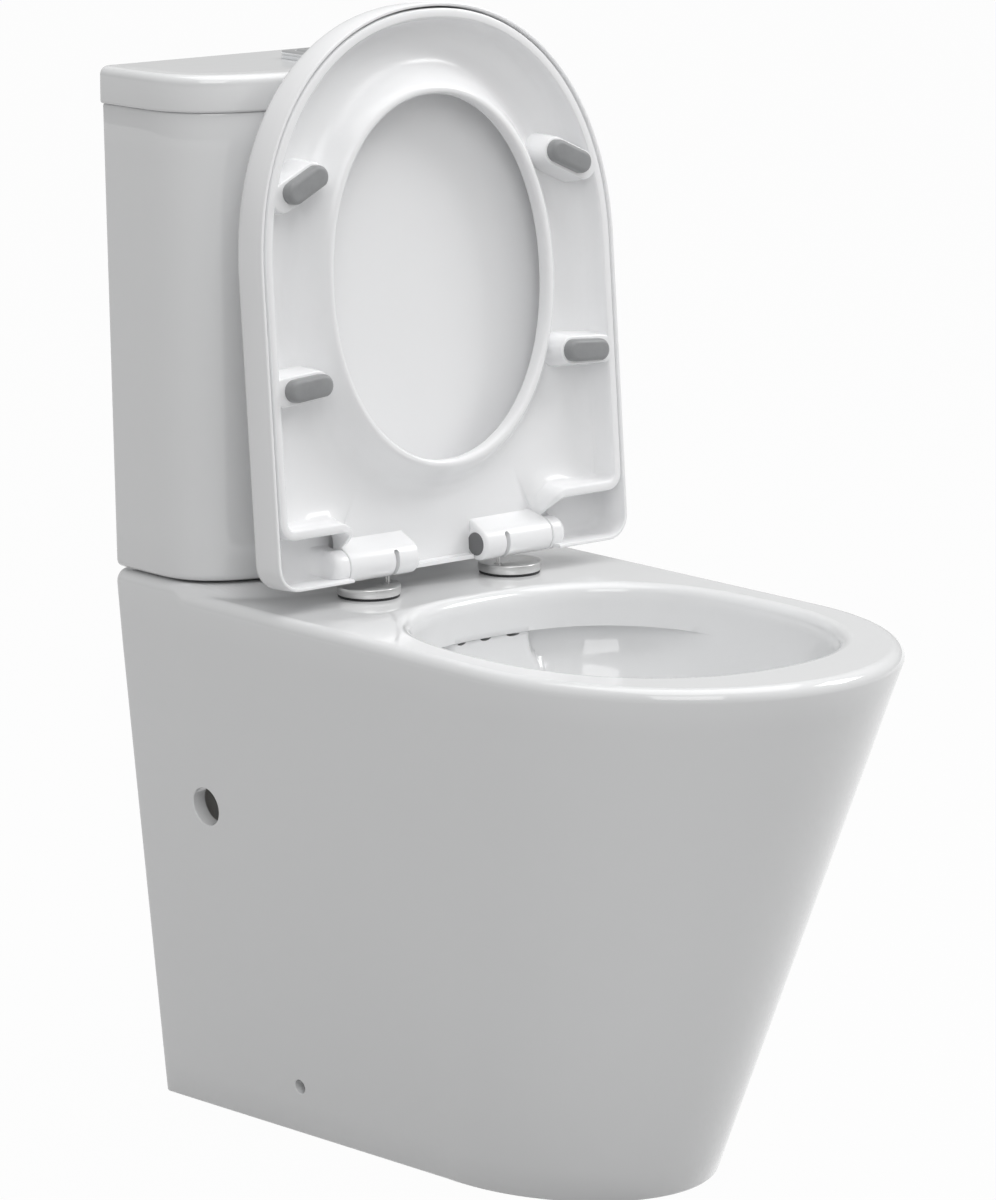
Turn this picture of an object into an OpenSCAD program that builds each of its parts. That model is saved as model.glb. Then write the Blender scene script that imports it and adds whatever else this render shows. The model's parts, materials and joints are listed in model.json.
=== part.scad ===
// Back to wall toilet: pan and close-coupled cistern, with the seat and its cover raised.
// Millimetres. The front faces -Y, +X is the right-hand side seen from above with the front down,
// and the origin is on the floor under the middle of the pan's length and width.

/* [Pan] */
// Distance from the wall to the front of the rim
pan_length = 642; // [535:1:771]
// Width over the rim
pan_width = 362; // [301:1:435]
// Height of the rim above the floor
rim_height = 436; // [363:1:524]
// Length of the rim's rounded front
rim_round = 202; // [160:1:230]
// Width of the foot at the wall
foot_width = 274; // [228:1:329]
// Width of the foot where its rounded front starts
foot_front_width = 226; // [188:1:272]
// Distance from the wall to the front of the foot
foot_length = 474; // [395:1:520]
// Length of the foot's rounded front
foot_round = 144; // [110:1:170]
// Thickness of the pan's outer walls
pan_wall = 12; // [9:0.5:15]
// Width of the opening between the flanges at the pan's back
back_opening = 136; // [116:1:160]
// Thickness of the flanges at the pan's back
back_flange = 12; // [8:0.5:14]
// Thickness of the deck
deck_thickness = 14; // [11:0.5:18]
// Rise of the cistern's shelf above the rim
shelf_rise = 6.5; // [5:0.5:9]
// Length of the slope in front of the shelf
shelf_slope = 40; // [25:1:50]

/* [Bowl] */
// Distance from the wall to the back of the bowl's opening
bowl_back = 248; // [235:1:270]
// Width of the rim in front of the bowl
rim_front = 63; // [45:1:80]
// Width of the rim at each side of the bowl
rim_side = 35; // [25:1:45]
// Thickness of the bowl's wall
bowl_wall = 10; // [8:0.5:12]
// Height of the bowl's lowest point above the floor
sump_height = 150; // [130:1:180]
// Radius of the bowl's lowest part
sump_radius = 42; // [36:1:50]
// Distance from the wall to the middle of the sump
sump_from_wall = 335; // [320:1:360]

/* [Waterways] */
// Inner radius of the trap
trap_radius = 27; // [24:1:30]
// Wall of the trap
trap_wall = 9; // [7:0.5:11]
// Height of the trap's overflow bend above the floor
weir_height = 268; // [255:1:280]
// Height of the outlet's axis above the floor
outlet_height = 185; // [175:1:195]
// Outer radius of the outlet spigot
outlet_radius = 51; // [45:0.5:55]
// Inner radius of the outlet spigot
outlet_bore = 42; // [36:0.5:46]
// Distance from the wall to the end of the outlet spigot
outlet_setback = 12; // [5:1:25]
// Length of the outlet spigot
outlet_reach = 62; // [50:1:70]
// Width inside the flush water duct
duct_width = 76; // [60:1:80]
// Height inside the flush water duct
duct_height = 40; // [30:1:50]
// Radius of the flush inlet in the shelf
inlet_radius = 36; // [32:0.5:38]

/* [Side holes] */
// Radius of the access hole in each side
access_radius = 15.75; // [12:0.25:19]
// Distance from the wall to the access hole
access_from_wall = 91; // [70:1:110]
// Height of the access hole above the floor
access_height = 261; // [230:1:300]
// Radius of the floor fixing hole in each side
fixing_radius = 5.75; // [4:0.25:7]
// Distance from the wall to the floor fixing hole
fixing_from_wall = 169; // [140:1:200]
// Height of the floor fixing hole above the floor
fixing_height = 41; // [30:1:55]

/* [Cistern] */
// Width of the cistern at its bottom
tank_bottom_width = 361; // [301:1:433]
// Width of the cistern at its top
tank_top_width = 376; // [313:1:451]
// Depth of the cistern at its bottom
tank_bottom_depth = 126; // [124:1:151]
// Depth of the cistern at its top
tank_top_depth = 134; // [130:1:161]
// Height of the cistern without its lid
tank_height = 371.5; // [310:0.5:446]
// Thickness of the cistern's walls
tank_wall = 10; // [8:0.5:11]
// Thickness of the cistern's floor
tank_floor = 12; // [10:0.5:15]
// Gap between the cistern and the shelf
tank_gap = 2; // [1.5:0.25:4]
// Height of the cistern lid's visible edge
lid_height = 29; // [24:0.5:35]
// Overhang of the lid beyond the cistern
lid_overhang = 2.5; // [1:0.25:4]
// Thickness of the lid's top
lid_top = 14; // [10:0.5:18]
// Distance from the wall to the row of valves, bolts and buttons
fittings_from_wall = 68; // [66:0.5:70]

/* [Seat and cover] */
// Distance from the wall to the hinge axis
hinge_from_wall = 192; // [185:1:200]
// Height of the hinge axis above the rim
hinge_rise = 28; // [26:0.5:33]
// Angle that the seat and cover turn between closed and raised
open_angle = 94.7; // [88:0.1:95]
// How far the cover ends behind the front of the rim
cover_setback = 18.4; // [8:0.2:30]
// How much narrower than the rim the cover is, both sides together
cover_inset = 3; // [0:1:12]
// Depth of the cover with its skirt
cover_depth = 36.5; // [33:0.5:42]
// Thickness of the cover's top
cover_top = 3.4; // [3:0.1:4]
// Thickness of the cover's skirt
cover_skirt = 3; // [2.5:0.1:4]
// Gap between the seat ring and the cover's skirt
seat_gap = 1.5; // [1:0.1:3]
// Distance from the hinge axis down to the seat's underside
seat_drop = 19.1; // [18.5:0.1:22]
// Thickness of the seat ring
seat_thickness = 29.6; // [26:0.1:31]
// Width of the seat's opening
seat_opening_width = 216; // [190:1:230]
// Distance from the hinge axis to the back of the seat's opening
seat_opening_back = 75.6; // [70:0.2:90]
// Width of the seat ring at the front
seat_front = 64; // [50:1:75]
// Thickness of the seat ring's inner and outer ribs
seat_rib = 7; // [5:0.5:9]
// Thickness of the seat ring's upper skin
seat_skin = 4; // [3:0.1:5]
// Length of a seat buffer
buffer_length = 44; // [36:1:50]
// Width of a seat buffer
buffer_width = 14; // [10:0.5:18]

/* [Hinges] */
// Distance between the middles of the two hinge discs
hinge_spacing = 145.4; // [140:0.2:155]
// Distance between the two hinge posts
post_spacing = 114; // [108:0.5:118]
// Radius of a hinge disc
disc_radius = 25.4; // [24:0.1:28]
// Height of a hinge disc
disc_height = 7; // [6:0.5:8]
// Thickness of the rubber ring under a hinge disc
disc_gasket = 2; // [1:0.25:3]
// Outer radius of a hinge barrel
barrel_radius = 13.5; // [12.5:0.1:13.6]
// Distance from the middle to the inner end of a barrel
barrel_inner = 34; // [30:0.5:38]
// Distance from the middle to the outer end of a barrel
barrel_outer = 104; // [100:0.5:108]
// Radius of the hinge pins
pin_radius = 4; // [3:0.1:4.5]
// Radius of the soft-close cylinders
damper_radius = 9.2; // [8:0.1:9.5]

/* [Push buttons] */
// Width of the button bezel
bezel_width = 97; // [90:0.5:105]
// Depth of the button bezel, front to back
bezel_depth = 37; // [34:0.5:42]
// Height of the bezel above the lid
bezel_height = 6.5; // [5:0.25:8]
// Width of the bezel's border at each end
bezel_end = 9.7; // [8:0.1:12]
// Width of the bezel's border along each side
bezel_side = 6.1; // [5:0.1:7]
// Travel of a push button
button_travel = 7; // [5:0.5:8]

/* [Valves] */
// Radius of the flush valve's tower
tower_radius = 37.5; // [34:0.5:39]
// Radius of the flush valve's threaded outlet
valve_shank_radius = 24; // [22:0.5:26]
// Lift of the flush valve's canister
canister_lift = 22; // [18:1:26]
// Radius of the overflow tube
overflow_radius = 13; // [11:0.5:13.5]
// Distance from the middle to the fill valve
fill_valve_offset = 125; // [110:1:128]
// Distance from the wall to the fill valve
fill_from_wall = 60; // [50:1:64]
// Radius of the inlet thread
inlet_thread_radius = 10.48; // [8:0.01:12]
// Height of the fill valve's riser
riser_height = 271.5; // [220:0.5:280]
// Rise of the float
float_rise = 10; // [6:1:10]
// Distance from the middle to each cistern bolt
tank_bolt_offset = 82; // [70:1:88]

/* [Hidden] */
$fn = 64;

ceramic = [0.93, 0.93, 0.92];
plastic = [0.96, 0.96, 0.96];
inner_plastic = [0.86, 0.88, 0.9];
rubber = [0.6, 0.61, 0.62];
dark_rubber = [0.25, 0.25, 0.26];
steel = [0.78, 0.77, 0.75];
chrome = [0.85, 0.86, 0.88];
brass = [0.8, 0.68, 0.4];
damper_grey = [0.35, 0.36, 0.38];
valve_blue = [0.35, 0.55, 0.75];
seal_red = [0.55, 0.2, 0.18];

// Clearances
past = 1;           // how far a cut runs past the face that it opens
run_clearance = 0.06;  // radial, a pin in its bearing
loose = 0.4;        // radial or each side, parts that slide past one another
seat_rest = 0.3;    // between a part and the stop that it rests on

// Heights and distances that follow from the sizes above
wall_y = pan_length / 2;
rim_mid = pan_length - rim_round;
foot_mid = foot_length - foot_round;
rim_half = pan_width / 2;
shelf_z = rim_height + shelf_rise;
deck_under = rim_height - deck_thickness;
tank_z = shelf_z + tank_gap;
tank_floor_z = tank_z + tank_floor;
tank_top_z = tank_z + tank_height;
lid_z = tank_top_z + lid_height;
lid_under = lid_z - lid_top;
hinge_z = rim_height + hinge_rise;

// Plan shapes, seen from above
rim_power = 2;        // roundness of the rim's front: 2 is an ellipse, more is squarer
bowl_front_power = 2.2;
bowl_back_power = 2.6;
tank_power = 3.3;
tank_side = 40;       // length of the cistern's flat sides, from the wall
cover_power = 2.15;

function lerp(a, b, t) = a + (b - a) * t;
function signed_pow(v, p) = sign(v) * pow(abs(v), p);
function from_wall(d) = wall_y - d;

// A straight-backed, round-fronted outline: from the right back corner round the front to the left.
function d_outline(half_back, half_mid, d_back, d_mid, d_tip, power, steps = 14, side = 3) = [
    for (i = [0 : side - 1])
        [lerp(half_back, half_mid, i / side), from_wall(lerp(d_back, d_mid, i / side))],
    for (i = [0 : 2 * steps])
        let (t = 90 * i / steps)
        [half_mid * signed_pow(cos(t), 2 / power),
            from_wall(d_mid + (d_tip - d_mid) * pow(sin(t), 2 / power))],
    for (i = [side - 1 : -1 : 0])
        [-lerp(half_back, half_mid, i / side), from_wall(lerp(d_back, d_mid, i / side))]
];

// A closed oval with its own roundness in front and behind, in the same turning direction.
function oval(half, d_mid, front, back, power_front, power_back, steps = 20) = [
    for (i = [0 : 2 * steps - 1])
        let (t = 180 * i / steps, ahead = sin(t) >= 0, p = 2 / (ahead ? power_front : power_back))
        [half * signed_pow(cos(t), p), from_wall(d_mid + (ahead ? front : back) * signed_pow(sin(t), p))]
];

function raised_to(outline, z) = [for (p = outline) [p.x, p.y, z]];

// The middle of a level outline
function centre_of(ring) = [
    (min([for (p = ring) p.x]) + max([for (p = ring) p.x])) / 2,
    (min([for (p = ring) p.y]) + max([for (p = ring) p.y])) / 2,
    ring[0].z
];

// A closed solid through outlines of equal length, from the lowest up.
module loft(rings) {
    n = len(rings[0]);
    last = len(rings) - 1;
    floor_point = n * len(rings);
    polyhedron(
        points = concat([for (r = rings, p = r) p], [centre_of(rings[0]), centre_of(rings[last])]),
        faces = [
            for (j = [0 : n - 1]) [floor_point, (j + 1) % n, j],
            for (i = [0 : last - 1], j = [0 : n - 1])
                [i * n + j, i * n + (j + 1) % n, (i + 1) * n + (j + 1) % n],
            for (i = [0 : last - 1], j = [0 : n - 1])
                [i * n + j, (i + 1) * n + (j + 1) % n, (i + 1) * n + j],
            for (j = [0 : n - 1]) [floor_point + 1, last * n + j, last * n + (j + 1) % n]
        ]
    );
}

// An upright cylinder at a place given from the middle and the wall
module post_at(x, d, z0, z1, r) {
    translate([x, from_wall(d), z0]) cylinder(h = z1 - z0, r = r);
}

// An upright ring
module ring_at(x, d, z0, z1, r_in, r_out) {
    difference() {
        post_at(x, d, z0, z1, r_out);
        post_at(x, d, z0 - past, z1 + past, r_in);
    }
}

// A box given by its half width, its distances from the wall and its heights
module box_at(x0, x1, d0, d1, z0, z1) {
    translate([x0, from_wall(d1), z0]) cube([x1 - x0, d1 - d0, z1 - z0]);
}

// A hexagonal nut
module nut_at(x, d, z0, z1, across, r_in) {
    difference() {
        translate([x, from_wall(d), z0]) cylinder(h = z1 - z0, r = across / 2 / cos(30), $fn = 6);
        post_at(x, d, z0 - past, z1 + past, r_in);
    }
}

// ---------------------------------------------------------------- pan

rim_edge = 10;   // radius of the rim's outer edge
side_rows = 4;   // rows of facets up the pan's side
shelf_rows = 4;  // rows of facets up the shelf's slope
shelf_ledge = 4; // how far the shelf reaches in front of the cistern
top_row = rim_height - rim_edge;

// How far the pan has spread from its foot (0) to its rim (1) at a height
function pan_lean(z) = min(z / top_row, 1);

// The pan's outline at a height, drawn in by inset on its sides and front
function pan_outline(z, inset, d_back = 0) =
    let (f = pan_lean(z))
    d_outline(
        lerp(foot_width / 2, rim_half, f) - inset,
        lerp(foot_front_width / 2, rim_half, f) - inset,
        d_back, lerp(foot_mid, rim_mid, f), lerp(foot_length, pan_length, f) - inset, rim_power
    );

// The outside of the pan below the deck
module skirt_body() {
    loft([
        for (i = [0 : side_rows])
            let (z = deck_under * i / side_rows)
            raised_to(pan_outline(z, 0), z)
    ]);
}

module pan_hollow() {
    loft([
        for (i = [0 : side_rows])
            let (z = lerp(-past, deck_under + past, i / side_rows))
            raised_to(pan_outline(z, pan_wall, -past), z)
    ]);
}

// The deck with its rounded outer edge
module deck_body() {
    loft([
        raised_to(pan_outline(deck_under, 0), deck_under),
        raised_to(pan_outline(top_row, 0), top_row),
        for (a = [30, 60, 90])
            let (z = top_row + rim_edge * sin(a))
            raised_to(pan_outline(z, rim_edge * (1 - cos(a))), z)
    ]);
}

function tank_outline(f, inset, d_back = 0, more_front = 0) =
    d_outline(
        lerp(tank_bottom_width, tank_top_width, f) / 2 - inset,
        lerp(tank_bottom_width, tank_top_width, f) / 2 - inset,
        d_back, tank_side, lerp(tank_bottom_depth, tank_top_depth, f) - inset + more_front,
        tank_power, 10, 2
    );

// The raised shelf that carries the cistern, with its slope down to the deck
module pan_shelf() {
    loft([
        raised_to(tank_outline(0, 0, 0, shelf_slope), rim_height - deck_thickness / 2),
        for (i = [0 : shelf_rows])
            let (t = i / shelf_rows)
            raised_to(tank_outline(0, 0, 0, shelf_slope * pow(1 - t, 2) + shelf_ledge * t),
                rim_height + shelf_rise * t)
    ]);
}

bowl_tip = pan_length - rim_front;
bowl_mid = (bowl_back + bowl_tip) / 2;
bowl_reach = (bowl_tip - bowl_back) / 2;
bowl_half = rim_half - rim_side;
bowl_rows = [0, 0.06, 0.15, 0.28, 0.42, 0.56, 0.69, 0.8, 0.89, 0.96, 1];

// How open the bowl is at a share s of its depth: 1 at the rim, 0 at the bottom
function bowl_open(s) = pow(1 - pow(s, 1.6), 1.1);

function bowl_ring(s, grow, z) =
    let (k = bowl_open(s), reach = lerp(sump_radius, bowl_reach, k) + grow)
    raised_to(
        oval(
            lerp(sump_radius, bowl_half, k) + grow, lerp(sump_from_wall, bowl_mid, k), reach, reach,
            lerp(2, bowl_front_power, k), lerp(2, bowl_back_power, k)
        ), z
    );

module bowl_cut() {
    loft([
        for (i = [len(bowl_rows) - 1 : -1 : 0])
            let (s = bowl_rows[i])
            bowl_ring(s, 0, lerp(rim_height, sump_height, s)),
        bowl_ring(0, 0, rim_height + past)
    ]);
}

module bowl_shell() {
    loft([
        for (i = [len(bowl_rows) - 1 : -1 : 0])
            let (s = bowl_rows[i])
            bowl_ring(s, bowl_wall, lerp(deck_under, sump_height - bowl_wall, s))
    ]);
}

// The trap's centre line, as distances from the wall and heights
outlet_end = outlet_setback + outlet_reach;
outlet_straight = 8;   // length of the outlet's full bore past the spigot
outlet_taper = 26;     // length over which the spigot narrows to the trap
trap_mouth = 28;       // height of the trap's mouth above the sump
trap_dip = 15;         // height of the trap's lowest bend above the sump
trap_back = 60;        // distance of that bend behind the sump
weir_from_wall = 205;
drop_from_wall = 150;
drop_start = 13;       // how far the trap has fallen there from the weir
trap_path = [
    [sump_from_wall, sump_height + trap_mouth],
    [sump_from_wall - trap_back, sump_height + trap_dip],
    [weir_from_wall, weir_height],
    [drop_from_wall, weir_height - drop_start],
    [outlet_end + outlet_taper, outlet_height],
    [outlet_end + outlet_straight, outlet_height]
];

bend_swell = 1.5;    // the trap is this much wider at its bends

module trap_run(r) {
    for (i = [0 : len(trap_path) - 2]) {
        a = trap_path[i];
        b = trap_path[i + 1];
        lean = atan2(a[0] - b[0], b[1] - a[1]);
        translate([0, from_wall(a[0]), a[1]]) {
            sphere(r = r + bend_swell);
            rotate([-lean, 0, 0]) cylinder(h = norm(b - a), r = r);
        }
    }
}

// A shape along the outlet's axis, from distance d0 to d1 from the wall
module along_outlet(d0, d1, r0, r1) {
    translate([0, from_wall(d0), outlet_height]) rotate([90, 0, 0]) cylinder(h = d1 - d0, r1 = r0, r2 = r1);
}

duct_wall = 8;
duct_back = 30;
duct_end_wall = 4;      // between the duct and the bowl's wall
duct_front = bowl_back - bowl_wall - duct_end_wall;
duct_z = deck_under - duct_height - 2 * duct_wall;

// Outlets for the flush water in the back of the bowl
jet_radius = 3.5;
jet_spacing = 24;
jet_depth = 32;
jet_length = 30;

rib_half = 6;           // half thickness of the rib under the trap
rib_setback = 4;        // from the spigot's end to the rib
gasket_recess = 14;
gasket_outer = 46;
bolt_hole = 6;
hinge_hole = 7.5;
fill_hole = 21;
disc_d = hinge_from_wall - 4;

// The pan's half width at a distance from the wall and a height, and its outward slopes
function side_half(d, z) =
    let (f = pan_lean(z), t = d / lerp(foot_mid, rim_mid, f))
    lerp(lerp(foot_width, foot_front_width, t) / 2, rim_half, f);
function slope_up(d, z) = (side_half(d, z + 5) - side_half(d, z - 5)) / 10;
function slope_out(d, z) = (side_half(d + 5, z) - side_half(d - 5, z)) / 10;

// A drill through the left side, square to the wall
module side_drill(d, z, r) {
    up = slope_up(d, z);
    out = slope_out(d, z);
    size = norm([1, out, up]);
    translate([-side_half(d, z), from_wall(d), z])
        rotate([0, acos(-up / size), atan2(out, -1)])
        translate([0, 0, -2 * pan_wall])
        cylinder(h = 3 * pan_wall, r = r);
}

// The pan is one ceramic body. It is drawn as five sections that meet face to face: the skirt, the
// deck, the bowl, the flush water's duct behind it and the trap under it.

module trap_bore() {
    trap_run(trap_radius);
    along_outlet(outlet_setback - past, outlet_end + outlet_straight, outlet_bore, outlet_bore);
    along_outlet(outlet_end + outlet_straight, outlet_end + outlet_taper, outlet_bore, trap_radius);
}

module jet_bores() {
    for (x = [-jet_spacing, 0, jet_spacing])
        translate([x, from_wall(duct_front - past), rim_height - jet_depth])
        rotate([90, 0, 0]) cylinder(h = jet_length, r = jet_radius);
}

module inlet_bore() {
    post_at(0, fittings_from_wall, deck_under - duct_wall - past, shelf_z + past, inlet_radius);
}

// The skirt's walls turn in at the wall, on each side of the pan's open back
module back_flanges() {
    for (m = [0, 1]) mirror([m, 0, 0])
        box_at(back_opening / 2, rim_half, -2 * past, back_flange, -2 * past, deck_under + 2 * past);
}

module pan_skirt() {
    color(ceramic)
    difference() {
        skirt_body();
        difference() {
            pan_hollow();
            back_flanges();
        }
        for (m = [0, 1]) mirror([m, 0, 0]) {
            side_drill(access_from_wall, access_height, access_radius);
            side_drill(fixing_from_wall, fixing_height, fixing_radius);
        }
    }
}

module pan_deck() {
    color(ceramic)
    difference() {
        union() {
            deck_body();
            pan_shelf();
        }
        bowl_cut();
        inlet_bore();
        post_at(0, fittings_from_wall, shelf_z - gasket_recess, shelf_z + past, gasket_outer + loose);
        for (x = [-1, 1]) {
            post_at(x * tank_bolt_offset, fittings_from_wall, deck_under - past, shelf_z + past, bolt_hole);
            post_at(x * hinge_spacing / 2, disc_d, deck_under - past, rim_height + past, hinge_hole);
        }
        post_at(-fill_valve_offset, fill_from_wall, deck_under - past, shelf_z + past, fill_hole);
    }
}

module pan_bowl() {
    color(ceramic)
    difference() {
        bowl_shell();
        bowl_cut();
        trap_run(trap_radius);
        jet_bores();
    }
}

module pan_duct() {
    color(ceramic)
    difference() {
        box_at(-duct_width / 2 - duct_wall, duct_width / 2 + duct_wall, duct_back - duct_wall,
            bowl_back - bowl_wall + duct_end_wall, duct_z, deck_under);
        bowl_shell();
        box_at(-duct_width / 2, duct_width / 2, duct_back, duct_front,
            duct_z + duct_wall, deck_under - duct_wall);
        inlet_bore();
        jet_bores();
    }
}

module pan_trap() {
    color(ceramic)
    difference() {
        union() {
            trap_run(trap_radius + trap_wall);
            along_outlet(outlet_setback, outlet_end, outlet_radius, outlet_radius);
            along_outlet(outlet_end, outlet_end + outlet_taper, outlet_radius, trap_radius + trap_wall);
            box_at(-rib_half, rib_half, outlet_end + rib_setback, sump_from_wall,
                0, outlet_height - trap_radius);
        }
        bowl_shell();
        trap_bore();
    }
}

// ---------------------------------------------------------------- cistern

tank_edge = 6;      // rounding of the cistern's bottom edge
round_share = 0.3;  // where a rounding's middle point lies, as a share of its size
fill_tank_hole = 11.5;
bolt_tank_hole = 5.5;
valve_tank_hole = valve_shank_radius + 1;

module cistern_tank() {
    inner_floor = tank_floor / tank_height;
    color(ceramic)
    difference() {
        loft([
            raised_to(tank_outline(0, tank_edge), tank_z),
            raised_to(tank_outline(0, tank_edge * round_share), tank_z + tank_edge * round_share),
            raised_to(tank_outline(0, 0), tank_z + tank_edge),
            raised_to(tank_outline(1, 0), tank_top_z)
        ]);
        loft([
            raised_to(tank_outline(inner_floor, tank_wall, tank_wall), tank_floor_z),
            raised_to(tank_outline(1, tank_wall, tank_wall), tank_top_z + past)
        ]);
        post_at(0, fittings_from_wall, tank_z - past, tank_floor_z + past, valve_tank_hole);
        post_at(-fill_valve_offset, fill_from_wall, tank_z - past, tank_floor_z + past, fill_tank_hole);
        for (x = [-1, 1])
            post_at(x * tank_bolt_offset, fittings_from_wall, tank_z - past, tank_floor_z + past,
                bolt_tank_hole);
    }
}

bezel_skirt = 2;
window_half = bezel_width / 2 - bezel_end;
window_depth = bezel_depth / 2 - bezel_side;
skirt_half = window_half + bezel_skirt;
skirt_depth = window_depth + bezel_skirt - 0.4;
lid_slot_gap = 1.2;
lip_depth = 12;     // how far the lid's locating lip reaches into the cistern
lip_thickness = 6;
lip_gap = 2;        // between the lip and the cistern's walls
lip_draft = 0.5;    // how much wider the lip is at its root
lid_edge = 6;       // rounding of the lid's top edge
lid_foot = 3;       // height of the rounding at the lid's lower edge
lid_foot_inset = 1; // how far that edge is drawn in

module button_box(half_x, half_d, z0, z1) {
    box_at(-half_x, half_x, fittings_from_wall - half_d, fittings_from_wall + half_d, z0, z1);
}

module cistern_lid() {
    lip = tank_wall + lip_gap;
    inner = lip + lip_thickness;
    color(ceramic)
    difference() {
        union() {
            loft([
                raised_to(tank_outline(1, lid_foot_inset - lid_overhang), tank_top_z),
                raised_to(tank_outline(1, -lid_overhang), tank_top_z + lid_foot),
                raised_to(tank_outline(1, -lid_overhang), lid_z - lid_edge),
                raised_to(tank_outline(1, lid_edge * round_share - lid_overhang),
                    lid_z - lid_edge * round_share),
                raised_to(tank_outline(1, lid_edge - lid_overhang), lid_z)
            ]);
            loft([
                raised_to(tank_outline(1, lip, lip), tank_top_z - lip_depth),
                raised_to(tank_outline(1, lip - lip_draft, lip - lip_draft), tank_top_z + past)
            ]);
        }
        loft([
            raised_to(tank_outline(1, inner, inner), tank_top_z - lip_depth - past),
            raised_to(tank_outline(1, inner, inner), lid_under)
        ]);
        button_box(skirt_half + lid_slot_gap, skirt_depth + lid_slot_gap, lid_under - past, lid_z + past);
    }
}

// ---------------------------------------------------------------- seat and cover
// Both are drawn closed, with y and z measured from the hinge axis, and turned up about it.

module at_hinge() {
    translate([0, from_wall(hinge_from_wall), hinge_z]) children();
}

module raised() {
    at_hinge() rotate([-open_angle, 0, 0]) children();
}

cover_half = (pan_width - cover_inset) / 2;
cover_tip = pan_length - cover_setback - hinge_from_wall;
cover_round = 202;        // length of the cover's rounded front
cover_rear = 11.4;        // how far the cover reaches behind the axis
cover_inner = cover_depth - seat_drop - cover_top;
seat_half = cover_half - cover_skirt - seat_gap;
seat_tip = cover_tip - cover_skirt - seat_gap;
seat_top = seat_thickness - seat_drop;
arm_rear = 28.6;          // the side arms end this far in front of the axis
seat_middle = cover_tip - cover_round;
seat_corner = 14;         // radius of the arms' rear corners
cover_corner = 12;        // radius of the cover's rear corners
least_corner = 0.5;
panel_thickness = 9;      // of the panel between the ring and its barrels
panel_end = 3;            // the panel ends this far in front of the axis

// A D outline in the seat's frame, with rounded rear corners, pulled in by inset
function seat_outline(half, rear, tip, corner, inset) = [
    for (i = [0 : 4])
        let (a = 90 * i / 4, r = max(corner - inset, least_corner))
        [half - inset - r + r * sin(a), rear - inset - r + r * cos(a)],
    for (i = [0 : 28])
        let (t = 180 * i / 28)
        [(half - inset) * signed_pow(cos(t), 2 / cover_power),
            -seat_middle - (tip - inset - seat_middle) * pow(sin(t), 2 / cover_power)],
    for (i = [4 : -1 : 0])
        let (a = 90 * i / 4, r = max(corner - inset, least_corner))
        [-(half - inset - r + r * sin(a)), rear - inset - r + r * cos(a)]
];

opening_half = seat_opening_width / 2;
opening_front = seat_tip - seat_front;
opening_mid = (seat_opening_back + opening_front) / 2;
opening_reach = (opening_front - seat_opening_back) / 2;

opening_power = 2.1;
opening_steps = 48;

function opening_outline(grow) = [
    for (i = [0 : opening_steps - 1])
        let (t = 360 * i / opening_steps)
        [(opening_half + grow) * signed_pow(cos(t), 2 / opening_power),
            -opening_mid + (opening_reach + grow) * signed_pow(sin(t), 2 / opening_power)]
];

module slab(outline, z0, z1) {
    translate([0, 0, z0]) linear_extrude(height = z1 - z0) polygon(outline);
}

// A cylinder along X, from x0 to x1
module along_x(x0, x1, r) {
    translate([x0, 0, 0]) rotate([0, 90, 0]) cylinder(h = x1 - x0, r = r);
}

post_x = post_spacing / 2;
blade = 3;               // thickness of a post's flat
blade_gap = 0.5;         // beside the flat, in its slot in the barrel
blade_half = 4.5;        // half width of the flat
slot_side = 0.8;         // beside the flat's edges, in its slot
slot_lean = barrel_radius * sin(open_angle - 90);
eye_radius = 7;
damper_inner = 52;       // where the soft-close cylinder in the right barrel ends
cover_damper_from = 62;
cover_damper_to = 97;
pin_end = 4;             // a barrel's pin bore starts this far from its inner end
slot_reach = 20;         // how far a slot is cut below the axis
slot_back = 25;          // and behind its front edge
lug_gap = 0.5;
lug_width = 14;
lug_end = 3;             // wall at a lug's outer end, and what its back is drawn in by
lug_outer = barrel_outer + lug_gap + lug_width;

// Buffers: [x, distance in front of the axis, turn of the left one]
buffers = [[134, 303.6, 25], [142, 147.6, 4]];
buffer_bridge = 6;       // how much wider than the buffer its bridge is
buffer_height = hinge_rise - seat_drop - seat_rest;
cover_buffer_radius = 6;
cover_buffer_shift = 6;  // how far outside the seat's buffers the cover's stand

// An upright oblong with round ends
module oblong(length, width, z0, z1) {
    translate([0, 0, z0]) {
        translate([(width - length) / 2, -width / 2, 0]) cube([length - width, width, z1 - z0]);
        for (x = [-1, 1]) translate([x * (length - width) / 2, 0, 0]) cylinder(h = z1 - z0, r = width / 2);
    }
}

module at_buffers() {
    for (b = buffers, s = [-1, 1])
        translate([s * b[0], -b[1], 0]) rotate([0, 0, s * b[2]]) children();
}

module barrel_cuts() {
    // right barrel: soft-close cylinder, pin, eye and slot
    along_x(barrel_inner - past, damper_inner, damper_radius + run_clearance);
    along_x(damper_inner - past, barrel_outer + past, pin_radius + run_clearance);
    // left barrel: pin, then the cover's soft-close cylinder
    along_x(-post_x - past, -barrel_inner - pin_end, pin_radius + run_clearance);
    along_x(-cover_damper_to - loose, -cover_damper_from + loose, damper_radius + loose);
    along_x(-cover_damper_from, -post_x, pin_radius + run_clearance);
    along_x(-barrel_outer - past, -cover_damper_to, pin_radius + 1);
    for (s = [-1, 1]) translate([s * post_x, 0, 0]) {
        along_x(-blade / 2 - blade_gap, blade / 2 + blade_gap, eye_radius + loose);
        translate([-blade / 2 - blade_gap, -blade_half - slot_side, -slot_reach])
            cube([blade + 2 * blade_gap, slot_back, slot_reach + blade_half + slot_side + slot_lean]);
    }
}

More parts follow.
